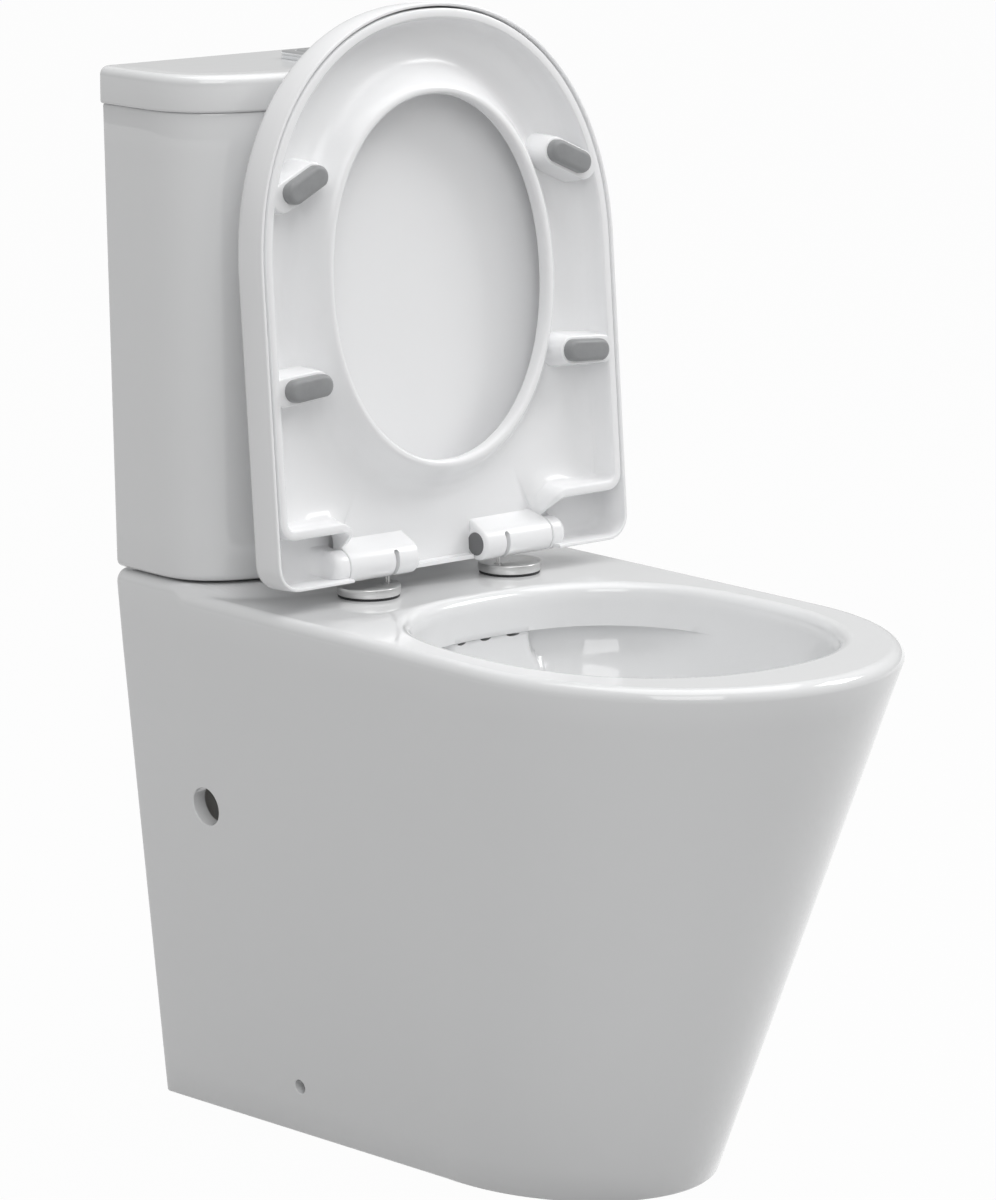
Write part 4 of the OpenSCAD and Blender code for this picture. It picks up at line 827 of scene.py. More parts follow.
def build_pan(shape):
    """The skirt, deck and bowl as one closed shell, with its back left open."""
    blank = shape.outline(shape.s.rim_height, 0)
    rows = outside_rows(shape, blank) + [(places, GLAZED) for places in bowl_rows(shape, blank)]
    bm = bmesh.new()
    ring = foot = first_ring(bm, rows[0][0])
    for places, finish in rows[1:]:
        ring = next_ring(bm, ring, places, finish)
    close_ring(bm, ring)
    ring = foot
    for places in under_rows(shape, blank):
        ring = next_ring(bm, ring, places, BARE)
    close_ring(bm, ring, BARE)

    # the back is open between the side walls: its faces go, and the walls' ends are filled
    back = [f for f in bm.faces if all(v.co.y > WALL_Y - 1e-6 for v in f.verts)]
    bmesh.ops.delete(bm, geom=back, context="FACES")
    rim = [e for e in bm.edges if e.is_boundary]
    made = bmesh.ops.holes_fill(bm, edges=rim, sides=0)["faces"]
    bmesh.ops.triangulate(bm, faces=made, ngon_method="EAR_CLIP")
    return bm


def side_drill(bm, shape, side, d, z, radius):
    """A cutter through a side wall, square to it, whose mouth opens out at the surface."""
    step = 5 * MM
    out = (shape.side_half(d + step, z) - shape.side_half(d - step, z)) / (2 * step)
    up = (shape.side_half(d, z + step) - shape.side_half(d, z - step)) / (2 * step)
    axis = Vector((side, out, -up)).normalized()
    mouth = [(HOLE_FLARE * (1 - math.cos(a)), -HOLE_FLARE * (1 - math.sin(a)))
             for a in (math.pi / 2 * k / 5 for k in range(6))]
    deep, clear = 24 * MM, 8 * MM
    profile = [(0, -deep), (radius, -deep)] + [(radius + r, h) for r, h in mouth]
    profile += [(radius + HOLE_FLARE, clear), (0, clear)]
    turned(bm, profile, from_wall(side * shape.side_half(d, z), d, z), axis, 48)


# The waterway as (distance from the wall, height): its outside and its bore, curved and then straight
TRAP_CURVE = [(0.286, 0.166), (0.27, 0.163), (0.205, 0.268), (0.15, 0.255), (0.1, 0.187), (0.082, 0.185),
              (0.074, 0.185)]
TRAP_END = [(0.072, 0.185), (0.014, 0.185), (0.012, 0.185)]
BORE_CURVE = [(0.335, 0.18), (0.27, 0.164), (0.205, 0.268), (0.15, 0.255), (0.1, 0.187), (0.082, 0.185)]
BORE_END = [(0.08, 0.185), (0.0, 0.185)]
# Blocks as two corners (x, distance from the wall, height) and the rounding of their edges
DUCT = ((-0.046, 0.244, 0.366), (0.046, 0.022, 0.424), 0.005)
RIB = ((-0.006, 0.33, 0.0), (0.006, 0.08, 0.16), 0.002)
# Access and fixing holes through each side, as (distance from the wall, height, radius)
SIDE_HOLES = ((0.091, 0.261, 0.01575), (0.169, 0.041, 0.00575))
INLET_X, INLET_FROM_WALL = -0.125, 0.06     # the water inlet, in the deck and the cistern's floor
# Hinge and cistern bolt holes each side of the middle, as (x, distance from the wall, radius)
BOLT_HOLES = ((0.0727, 0.188, 0.0075), (0.082, 0.068, 0.006))
DECK_CUT = (0.4, 0.46)       # heights between which the deck is drilled
# The flush water's stepped hole, as (radius, height)
FLUSH_HOLE = [(0, 0.395), (0.036, 0.395), (0.036, 0.4285), (0.0464, 0.4285), (0.0464, 0.46), (0, 0.46)]


def waterway(curve, end, end_radii, small, large, widening):
    """A tube along a curve and a straight end, which widens from one radius to another near the wall."""
    path = smooth_path(curve, 6)
    radii = [lerp(small, large, ease((0.1 - d) / widening)) for d, z in path]
    return swept(path + end, radii + end_radii)


class TOILET_OT_pan(bpy.types.Operator):
    """Make the ceramic pan with its bowl, waterways and holes"""

    bl_idname = "toilet.make_pan"
    bl_label = "Pan"

    def execute(self, context):
        shape = PanShape(context.scene.toilet_pan)
        pan = placed(build_pan(shape), "pan_ceramic", [finishes["ceramic"], finishes["bisque"]])
        combined(pan, waterway(TRAP_CURVE, TRAP_END, [0.051, 0.051, 0.0495], 0.036, 0.051, 0.026), "UNION")
        for low, high, edge in (DUCT, RIB):
            extra = bmesh.new()
            block(extra, from_wall(*low), from_wall(*high))
            eased_edges(extra, edge)
            combined(pan, extra, "UNION")
        for side in (-1, 1):
            combined(pan, self.flange(shape, side), "UNION")
        combined(pan, waterway(BORE_CURVE, BORE_END, [0.042, 0.042], 0.027, 0.042, 0.018), "DIFFERENCE")

        cuts = bmesh.new()
        for side in (-1, 1):
            for d, z, radius in SIDE_HOLES:
                side_drill(cuts, shape, side, d, z, radius)
            for x, d, radius in BOLT_HOLES:
                rod(cuts, from_wall(side * x, d, 0), radius, *DECK_CUT)
        rod(cuts, from_wall(INLET_X, INLET_FROM_WALL, 0), 0.021, *DECK_CUT, 48)
        turned(cuts, FLUSH_HOLE, from_wall(0, 0.068, 0), (0, 0, 1))
        self.drill_slots(cuts, shape)
        combined(pan, cuts, "DIFFERENCE")
        pan.data.set_sharp_from_angle(angle=math.radians(50))
        belongs(pan, "pan", "ceramic", "pan_skirt", "pan_deck", "pan_bowl", "pan_duct", "pan_trap")
        return {"FINISHED"}

    def flange(self, shape, side):
        """The skirt's wall turned in where it meets the wall behind, from the floor up to the deck."""
        s = shape.s
        rings = []
        for z in (1.0 * MM, shape.deck_under + 5 * MM):
            outer = shape.side_half(s.flange / 2, z) - s.wall / 2
            rings.append([from_wall(side * x, d, z) for x, d in (
                (s.flange_inner, 0.4 * MM), (outer, 0.4 * MM), (outer, s.flange), (s.flange_inner, s.flange)
            )])
        bm = lofted(rings)
        eased_edges(bm, 1.5 * MM)
        return bm

    def drill_slots(self, cuts, shape):
        """Three round-bottomed slots under the lip, where the flush water leaves the spreader."""
        s = shape.s
        lip = s.rim_height - s.lip_depth
        slack, depth = 0.8 * MM, 12 * MM
        for x, half in SLOTS:
            front = shape.bowl_wall(x, lip) - slack
            angles = [math.pi * i / 16 for i in range(17)]
            edge = [(x + half * math.cos(a), lip - SLOT_DROP * math.sin(a)) for a in angles]
            edge += [(x - half, lip + slack), (x + half, lip + slack)]
            lofted([[from_wall(px, d, z) for px, z in edge] for d in (front, front - depth)], bm=cuts)


# ---------------------------------------------------------------- cistern

TANK_STEPS = (10, 5, 8, 44)     # points of half an outline, as for the pan


def tank_outline(s, share, inset, back=0.0):
    """The cistern's closed outline at a share of its height, drawn in by inset, and by back at the wall."""
    half = lerp(s.bottom_width, s.top_width, share) / 2 - inset
    tip = lerp(s.bottom_depth, s.top_depth, share) - inset
    corner = max(PAN_CORNER - back, 1.0 * MM)
    return mirrored(d_half(half, half, back, s.side, tip, SHELF_POWER, corner, TANK_STEPS))


def level_ring(outline, z):
    """An outline's places at a height."""
    return [from_wall(x, d, z) for x, d in outline]


def rounding(radius, steps):
    """Steps round a quarter turn, as (inset, rise) pairs from the side up to the top."""
    angles = [lerp(0.0, math.pi / 2, i / steps) for i in range(1, steps + 1)]
    return [(radius * (1 - math.cos(a)), radius * math.sin(a)) for a in angles]


def rounded_box(bm, low, high, corner, edge):
    """An upright box with round corners in plan and a rounded top edge, as a closed shell."""
    steps = 6

    def plan(inset):
        """The box's outline, drawn in by inset."""
        r = max(corner - inset, 0.3 * MM)
        x0, x1, y0, y1 = low[0] + inset, high[0] - inset, low[1] + inset, high[1] - inset
        points = []
        corners = ((x1 - r, y0 + r, -90), (x1 - r, y1 - r, 0), (x0 + r, y1 - r, 90), (x0 + r, y0 + r, 180))
        for cx, cy, start in corners:
            for k in range(steps + 1):
                a = math.radians(start + 90 * k / steps)
                points.append((cx + r * math.cos(a), cy + r * math.sin(a)))
        return points

    rings = [[Vector((x, y, low[2])) for x, y in plan(0.0)]]
    rings.append([Vector((x, y, high[2] - edge)) for x, y in plan(0.0)])
    for inset, rise in rounding(edge, 4):
        rings.append([Vector((x, y, high[2] - edge + rise)) for x, y in plan(inset)])
    lofted(rings, bm=bm)


class TOILET_OT_cistern(bpy.types.Operator):
    """Make the ceramic cistern"""

    bl_idname = "toilet.make_cistern"
    bl_label = "Cistern"

    def execute(self, context):
        s = context.scene.toilet_cistern
        low, high = TANK_LOW.z, TANK_HIGH.z
        rise = high - low
        inside, mouth, corner = s.wall, 1.5 * MM, 8 * MM
        rings = []
        for inset, up in reversed(rounding(s.edge, 6)):
            rings.append(level_ring(tank_outline(s, 0, inset), low + s.edge - up))
        rows = 12
        for i in range(rows + 1):
            z = lerp(low + s.edge, high - 2 * MM, i / rows)
            rings.append(level_ring(tank_outline(s, (z - low) / rise, 0), z))
        rings.append(level_ring(tank_outline(s, 1, 0.6 * MM), high - 0.5 * MM))
        rings.append(level_ring(tank_outline(s, 1, 2 * MM), high))
        rings.append(level_ring(tank_outline(s, 1, inside - mouth, inside), high))
        rings.append(level_ring(tank_outline(s, 1, inside, inside), high - mouth))
        for i in range(1, 7):
            z = lerp(high - mouth, low + s.floor + corner, i / 6)
            rings.append(level_ring(tank_outline(s, (z - low) / rise, inside, inside), z))
        for inset, up in rounding(corner, 4):
            z = low + s.floor + corner - up
            rings.append(level_ring(tank_outline(s, 0.03, inside + inset, inside + inset), z))
        tank = placed(lofted(rings), "cistern_ceramic", [finishes["ceramic"]])
        holes = bmesh.new()
        under, above = low - 0.01, low + 0.03
        rod(holes, from_wall(0, s.fittings, 0), 0.025, under, above, 64)
        for x, d, radius in ((INLET_X, INLET_FROM_WALL, 0.0115), (-0.082, s.fittings, 0.0055),
                             (0.082, s.fittings, 0.0055)):
            rod(holes, from_wall(x, d, 0), radius, under, above, 40)
        combined(tank, holes, "DIFFERENCE")
        belongs(tank, "pan", "ceramic", "cistern_tank")
        return {"FINISHED"}


class TOILET_OT_lid(bpy.types.Operator):
    """Make the cistern's lid, with its locating lip and the button plate's opening"""

    bl_idname = "toilet.make_lid"
    bl_label = "Cistern lid"

    def execute(self, context):
        s = context.scene.toilet_cistern
        foot, top = TANK_HIGH.z, LID_HIGH.z
        lip = s.wall + 2 * MM      # the locating lip's outer face
        inner = lip + 6 * MM       # and its inner face
        under = top - s.lid_top
        rows = [
            (inner + 10 * MM, under), (inner + 1 * MM, under - 1 * MM), (inner, under - 5 * MM),
            (inner, LID_LOW.z + 2 * MM), (inner - 1.5 * MM, LID_LOW.z), (lip + 1.5 * MM, LID_LOW.z),
            (lip, LID_LOW.z + 2 * MM), (lip - 0.5 * MM, foot),
        ]
        rings = [level_ring(tank_outline(s, 1, inset, inset), z) for inset, z in rows]
        rings.append(level_ring(tank_outline(s, 1, 3 * MM - s.overhang), foot))
        for inset, up in reversed(rounding(2.2 * MM, 4)):
            rings.append(level_ring(tank_outline(s, 1, inset - s.overhang), foot + 2.2 * MM - up))
        for z in (foot + 2.4 * MM, foot + 12 * MM, top - s.lid_edge):
            rings.append(level_ring(tank_outline(s, 1, -s.overhang), z))
        for inset, up in rounding(s.lid_edge, 8):
            z = top - s.lid_edge + up
            rings.append(level_ring(tank_outline(s, 1, inset - s.overhang), z))
        rings.append(level_ring(tank_outline(s, 1, 20 * MM), top))
        lid = placed(lofted(rings), "lid_ceramic", [finishes["ceramic"]])
        opening = bmesh.new()
        half, depth = 42 * MM, 15.2 * MM
        rounded_box(opening, (-half, WALL_Y - s.fittings - depth, top - 0.03),
                    (half, WALL_Y - s.fittings + depth, top + 0.01), 3 * MM, 0.5 * MM)
        combined(lid, opening, "DIFFERENCE")
        belongs(lid, "pan", "ceramic", "cistern_lid")
        return {"FINISHED"}


# ---------------------------------------------------------------- push buttons

STEM_X = 0.0205            # from the middle to a button's stem


class TOILET_OT_buttons(bpy.types.Operator):
    """Make the chrome button plate and the two push buttons"""

    bl_idname = "toilet.make_buttons"
    bl_label = "Push buttons"

    def execute(self, context):
        s = context.scene.toilet_cistern
        middle = WALL_Y - s.fittings
        low, high = BEZEL_LOW, BEZEL_HIGH
        lid_top = LID_HIGH.z
        edge, groove = 1.0 * MM, 1.0 * MM
        steps = 6

        def plan(inset, corner=3.5 * MM):
            """The plate's outline, drawn in by inset."""
            x1, y1 = high.x - inset, s.fittings + (high.y - middle) - inset
            r = max(corner - inset, 0.6 * MM)
            half = [(lerp(0, x1 - r, i / steps), 2 * s.fittings - y1) for i in range(steps)]
            for k in range(steps + 1):
                a = math.pi / 2 * k / steps
                half.append((x1 - r + r * math.sin(a), 2 * s.fittings - y1 + r * (1 - math.cos(a))))
            for k in range(steps + 1):
                a = math.pi / 2 * k / steps
                half.append((x1 - r + r * math.cos(a), y1 - r + r * math.sin(a)))
            return mirrored(half + [(0.0, y1)])

        def window(grow):
            """The plate's inner edge with the same number of points."""
            wide = high.x - s.plate_end + grow
            deep = high.y - middle - s.plate_side + grow
            outer_x, outer_y = high.x, high.y - middle
            outer = plan(0.0, 2 * MM)
            return [(x / outer_x * wide, s.fittings + (d - s.fittings) / outer_y * deep) for x, d in outer]

        rings = [
            level_ring(window(2 * MM), low.z), level_ring(window(2 * MM), lid_top - 0.2 * MM),
            level_ring(plan(0.3 * MM), lid_top), level_ring(plan(0.0), lid_top + 0.4 * MM),
            level_ring(plan(0.0), lid_top + 3 * MM), level_ring(plan(groove), lid_top + 3.1 * MM),
            level_ring(plan(groove), lid_top + 3.7 * MM), level_ring(plan(0.0), lid_top + 3.8 * MM),
            level_ring(plan(0.0), high.z - edge),
        ]
        for inset, up in rounding(edge, 4):
            rings.append(level_ring(plan(inset), high.z - edge + up))
        rings.append(level_ring(window(0.5 * MM), high.z))
        rings.append(level_ring(window(0.0), high.z - 0.5 * MM))
        rings.append(level_ring(window(0.0), low.z + 3 * MM))
        bezel = placed(lofted(rings), "button_plate", [finishes["chrome"]], 30)
        stems = bmesh.new()
        for side in (-1, 1):
            place = from_wall(side * STEM_X, s.fittings, 0)
            rod(stems, place, 0.0044, low.z - 0.01, low.z + 0.01)
        combined(bezel, stems, "DIFFERENCE")
        belongs(bezel, "pan", "chrome", "button_bezel")
        for side, name in ((-1, "half"), (1, "full")):
            node = f"{name}_flush_button"
            box_low, box_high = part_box(node)
            cap = bmesh.new()
            cap_bottom = box_high.z - 6 * MM
            rounded_box(cap, (box_low.x, box_low.y, cap_bottom), tuple(box_high), 2.2 * MM, 1.2 * MM)
            button = placed(cap, f"{name}_button_cap", [finishes["chrome"]], 30)
            stem = bmesh.new()
            turned(stem, [(0, box_low.z), (3.4 * MM, box_low.z), (4 * MM, box_low.z + 0.6 * MM),
                          (4 * MM, cap_bottom + 1 * MM), (0, cap_bottom + 1 * MM)],
                   from_wall(side * STEM_X, s.fittings, 0), (0, 0, 1), 32)
            combined(button, stem, "UNION")
            belongs(button, f"{name}_button", "chrome", node)
            self.make_spring(name)
        return {"FINISHED"}

    def make_spring(self, name):
        """A button's coil spring, which shortens as the button goes down."""
        node = f"{name}_button_spring"
        low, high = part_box(node)
        wire, turns, steps = 0.6 * MM, 6, 32
        middle = (low + high) / 2
        foot = Vector((middle.x, middle.y, low.z))
        rise = (high.z - low.z - 2 * wire) / (turns * steps)
        start = Matrix.Translation((high.x - wire, middle.y, low.z + wire))
        start = start @ Matrix.Rotation(math.pi / 2, 4, "X")
        bm = bmesh.new()
        bmesh.ops.create_circle(bm, segments=10, radius=wire, matrix=start)
        bmesh.ops.spin(bm, geom=bm.verts[:] + bm.edges[:], cent=foot, axis=(0, 0, 1), dvec=(0, 0, rise),
                       angle=2 * math.pi * turns, steps=turns * steps)
        bmesh.ops.holes_fill(bm, edges=bm.edges)
        spring = placed(bm, f"{name}_button_coil", [finishes["spring_steel"]], 60)
        belongs(spring, "pan", "spring_steel", node)
        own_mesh(spring)


# ---------------------------------------------------------------- seat and cover

def raised(bm):
    """Turns a shape that is drawn closed, about the hinge axis, up to where the seat stands."""
    bmesh.ops.rotate(bm, cent=(0, 0, 0), matrix=Matrix.Rotation(-OPEN_ANGLE, 3, "X"), verts=bm.verts)
    bmesh.ops.translate(bm, vec=HINGE, verts=bm.verts)


def stood_up(piece):
    """Turns a piece that is drawn closed up to where it stands, and marks its creases again."""
    bm = bmesh.new()
    bm.from_mesh(piece.data)
    raised(bm)
    bm.to_mesh(piece.data)
    bm.free()
    piece.data.set_sharp_from_angle(angle=math.radians(34))


FRONT_POWER = 2.15     # roundness of the seat's and the cover's front


def front_half(half, middle, tip):
    """The rounded front of the seat or cover, from its side to its tip."""
    steps, power = 44, FRONT_POWER
    points = []
    for i in range(steps + 1):
        a = math.pi / 2 * i / steps
        points.append((
            half * max(math.cos(a), 0.0) ** (2 / power), -middle - (tip - middle) * math.sin(a) ** (2 / power)
        ))
    return points


def cover_outline(s):
    """The cover's closed outline in the seat's frame."""
    corner = 20 * MM
    half, rear = s.cover_half, s.cover_rear
    points = [(lerp(0, half - corner, i / 12), rear) for i in range(12)]
    for i in range(7):
        a = math.pi / 2 * i / 7
        points.append((half - corner + corner * math.sin(a), rear - corner * (1 - math.cos(a))))
    middle = s.cover_tip - s.cover_round
    points += [(half, lerp(rear - corner, -middle, i / 20)) for i in range(20)]
    return mirrored(points + front_half(half, middle, s.cover_tip))


PANEL_END = 104 * MM     # half the length of the panel
PANEL_CORNER = 5 * MM    # radius of the panel's corners, inside the barrels
ARM_TURN = 10.6 * MM     # radius of the turn from the panel's end to the arm's rear edge


def seat_outline(s):
    """The seat's closed outline: panel, the turn beside each barrel, arms and front."""
    half = s.cover_half - s.skirt - s.gap
    tip = s.cover_tip - s.skirt - s.gap
    middle = s.cover_tip - s.cover_round
    corner = 14 * MM
    straight = ARM_TURN - s.arm_rear
    points = [(lerp(0, PANEL_END - PANEL_CORNER, i / 16), s.panel_rear) for i in range(16)]
    for i in range(6):
        a = math.pi / 2 * i / 6
        points.append((
            PANEL_END - PANEL_CORNER * (1 - math.sin(a)), s.panel_rear - PANEL_CORNER * (1 - math.cos(a))
        ))
    points += [(PANEL_END, lerp(s.panel_rear - PANEL_CORNER, straight, i / 8)) for i in range(8)]
    for i in range(10):
        a = math.pi / 2 * i / 10
        points.append((PANEL_END + ARM_TURN * (1 - math.cos(a)), straight - ARM_TURN * math.sin(a)))
    points += [(lerp(PANEL_END + ARM_TURN, half - corner, i / 6), -s.arm_rear) for i in range(6)]
    for i in range(8):
        a = math.pi / 2 * i / 8
        points.append((half - corner + corner * math.sin(a), -s.arm_rear - corner * (1 - math.cos(a))))
    points += [(half, lerp(-s.arm_rear - corner, -middle, i / 20)) for i in range(20)]
    return mirrored(points + front_half(half, middle, tip))


def past_turn(s, x, y):
    """How far a place is from the arm's rear edge, going round the turn and up the panel's end."""
    straight, middle = ARM_TURN - s.arm_rear, PANEL_END + ARM_TURN
    if abs(x) >= middle or y <= -s.arm_rear:
        return 0.0
    if y > straight:
        return ARM_TURN * math.pi / 2 + y - straight
    return ARM_TURN * (math.pi / 2 - math.atan2(straight - y, middle - abs(x)))


def seat_opening(s, outline, grow):
    """The seat's opening, with one point on the ray to each point of the outline."""
    mid = -(s.opening_back + s.opening_front) / 2
    reach = (s.opening_front - s.opening_back) / 2
    points = []
    for x, y in outline:
        a = math.atan2(y - mid, x)
        half, far, power = s.opening_half + grow, reach + grow, 2.1
        r = ((abs(math.cos(a)) / half) ** power + (abs(math.sin(a)) / far) ** power) ** (-1 / power)
        points.append((r * math.cos(a), mid + r * math.sin(a)))
    return points


def at_heights(outline, heights):
    """Places in the seat's frame, with one height for all or a list."""
    if not isinstance(heights, list):
        heights = [heights] * len(outline)
    return [Vector((x, y, z)) for (x, y), z in zip(outline, heights)]


# Rows of the seat's underside next to its outer edge, as (inset, height) in millimetres
OUTER_BEAD = [(0.0, -17.2), (0.5, -18.5), (1.4, -19.1), (5.2, -19.1), (6.6, -18.8), (7.5, -17.8),
              (8.0, -16.2), (8.5, -12.5), (9.2, -8.0), (10.3, -3.6), (12.2, -0.2)]
# Rows from there across the recess's floor, as (share of the way to the inner bead, height)
RECESS = [(0.14, 2.6), (0.32, 4.6), (0.52, 5.3), (0.72, 5.4), (0.88, 5.4)]
# Rows next to the opening, from the recess's floor to the opening's edge, as (growth, height)
INNER_BEAD = [(34.0, 5.4), (28.0, 4.4), (23.0, 2.0), (18.5, -2.2), (14.6, -7.4), (11.4, -12.2),
              (8.8, -15.6), (6.8, -17.7), (5.2, -18.8), (3.8, -19.1), (2.2, -19.0), (1.0, -18.4),
              (0.3, -17.2), (0.0, -15.5)]
# Rows of the top, from the opening's edge up to the flat, as (growth, height)
TOP_SLOPE = [(0.0, -9.5), (0.4, -7.9), (1.5, -6.6), (3.6, -5.3), (7.0, -3.6), (12.0, -1.0), (18.0, 2.4),
             (24.0, 5.6), (30.0, 8.2), (36.0, 9.8), (42.0, 10.4)]
# Rows of the top next to the outer edge, as (inset, height)
TOP_EDGE = [(12.0, 10.4), (7.0, 9.6), (3.6, 8.0), (1.4, 5.6), (0.3, 2.6), (0.0, 0.0), (0.0, -8.0)]


def build_seat(s):
    """The seat ring as a closed loop of rows: underside, opening, top and outer side."""
    outline = seat_outline(s)
    turned_by = [past_turn(s, x, y) for x, y in outline]
    on_panel = [ease((p - 4 * MM) / (26 * MM)) for p in turned_by]
    reach = [max(1 - p / (28.9 * MM), 0.2) for p in turned_by]
    behind = [lerp(1.0, 0.2, ease((y + 60 * MM) / (30 * MM))) for x, y in outline]
    face, top = s.panel_face / MM, (s.thickness - s.drop) / MM

    def mixed(bead, panel):
        """Heights that follow the bead along the arms and the panel behind."""
        return [lerp(bead, panel, share) * MM for share in on_panel]

    rings = []
    for inset, z in OUTER_BEAD:
        lip = face + 0.7 * max(1 - inset / 6, 0.0) ** 2
        rings.append(at_heights(shifted(outline, inset * MM, reach), mixed(z, lip)))
    outer = shifted(outline, OUTER_BEAD[-1][0] * MM, reach)
    inner = seat_opening(s, outline, INNER_BEAD[0][0] * MM)
    for t, z in RECESS:
        rings.append(at_heights(blended(outer, inner, t), mixed(z, lerp(face, INNER_BEAD[0][1], ease(t)))))
    for grow, z in INNER_BEAD + TOP_SLOPE:
        rings.append(at_heights(seat_opening(s, outline, grow * MM), z * MM))
    inner = seat_opening(s, outline, TOP_SLOPE[-1][0] * MM)
    outer = shifted(outline, TOP_EDGE[0][0] * MM, behind)
    for t in (0.25, 0.5, 0.75):
        rings.append(at_heights(blended(inner, outer, t), top * MM))
    for inset, z in TOP_EDGE:
        low = top - 0.9 * (1 - inset / 12) ** 2 + 0.02 * z
        rings.append(at_heights(shifted(outline, inset * MM, behind), mixed(z, low)))
    bm = lofted(rings, closed=False)
    loops = [e for e in bm.edges if e.is_boundary]
    bmesh.ops.bridge_loops(bm, edges=loops)
    return bm


def oblong(bm, length_, width, low, high, edge, grow):
    """An upright oblong with round ends, wider by grow at its top and rounded at its lower face."""
    steps = 12

    def plan(out):
        """The oblong's outline, grown by out."""
        r = width / 2 + out
        reach = (length_ - width) / 2
        return [
            (math.copysign(reach, math.cos(a)) + r * math.cos(a), r * math.sin(a))
            for a in (math.radians(-90 + 180 * k / steps + 0.001) for k in range(steps + 1))
        ] + [
            (-reach + r * math.cos(a), r * math.sin(a))
            for a in (math.radians(90 + 180 * k / steps + 0.001) for k in range(steps + 1))
        ]

    rings = [[Vector((x, y, high)) for x, y in plan(grow)]]
    rings.append([Vector((x, y, low + edge)) for x, y in plan(0.0)])
    for inset, rise in rounding(edge, 5):
        rings.append([Vector((x, y, low + edge - rise)) for x, y in plan(-inset)])
    ring = first_ring(bm, rings[0])
    close_ring(bm, ring)
    made = list(ring)
    for places in rings[1:]:
        ring = next_ring(bm, ring, places)
        made += ring
    close_ring(bm, ring)
    return made


# Where the buffers stand: x, distance in front of the axis, turn of the left-hand one in degrees
BUFFERS = [(134, 301.0, 25), (142, 145.0, 4)]


def to_buffer(bm, verts, side, spot):
    """Turns and moves a shape from the middle to one of the buffers' places."""
    x, ahead, turn = spot
    turning = Matrix.Rotation(math.radians(side * turn), 3, "Z")
    bmesh.ops.rotate(bm, cent=(0, 0, 0), matrix=turning, verts=verts)
    bmesh.ops.translate(bm, vec=(side * x * MM, -ahead * MM, 0), verts=verts)


def bar(section, x0, x1, first_edge, last_edge):
    """A bar along X with a closed, clockwise section of (y, z) pairs and its two ends rounded."""
    first = [(inset, x0 + first_edge - rise) for inset, rise in reversed(rounding(first_edge, 6))]
    last = [(inset, x1 - last_edge + rise) for inset, rise in rounding(last_edge, 6)]
    stations = [*first, (0.0, x0 + first_edge), (0.0, x1 - last_edge), *last]
    return lofted([[Vector((x, y, z)) for y, z in shifted(section, inset)] for inset, x in stations])


def housing_section(radius):
    """A barrel's section with the ramp that joins it to the panel, clockwise as (y, z) pairs."""
    angles = [math.radians(lerp(505, 211.8, i / 44)) for i in range(45)]
    return [(radius * math.cos(a), radius * math.sin(a)) for a in angles] + [(-20.5 * MM, 8.6 * MM)]


def round_section(radius):
    """A circle, clockwise as (y, z) pairs."""
    return [(radius * math.cos(a), radius * math.sin(a)) for a in (-math.tau * i / 56 for i in range(56))]


# Rows of what carries a lug, as (height, how far its foot spreads) in millimetres
PEDESTAL = [(-3, 0), (2, 0.1), (6, 0.9), (9, 2.6), (11, 4.8), (12.4, 7.4), (13.3, 10.4), (14.4, 14.5)]


def pedestal(s, side, under):
    """What carries a lug: it stands on the cover's inside and spreads out where it meets it."""
    rings = []
    radius = s.barrel_radius - 0.3 * MM
    for z, flare in PEDESTAL:
        x0, x1 = s.barrel_outer + 0.8 * MM, s.barrel_outer + (14.2 + flare) * MM
        y0, y1 = -radius - 0.25 * flare * MM, 10.5 * MM
        corner = (5 + 0.35 * flare) * MM
        plan = [(x0, y0), (x0, y1)]
        for cx, cy, start in ((x1 - corner, y1 - corner, 90), (x1 - corner, y0 + corner, 0)):
            for k in range(9):
                a = math.radians(start - 90 * k / 8)
                plan.append((cx + corner * math.cos(a), cy + corner * math.sin(a)))
        height = min(z * MM, under + 0.4 * MM)
        rings.append([Vector((side * x, y, height)) for x, y in plan])
    return lofted(rings)


POST_X = 57 * MM     # from the middle to a hinge post and to its slot in the seat's barrel


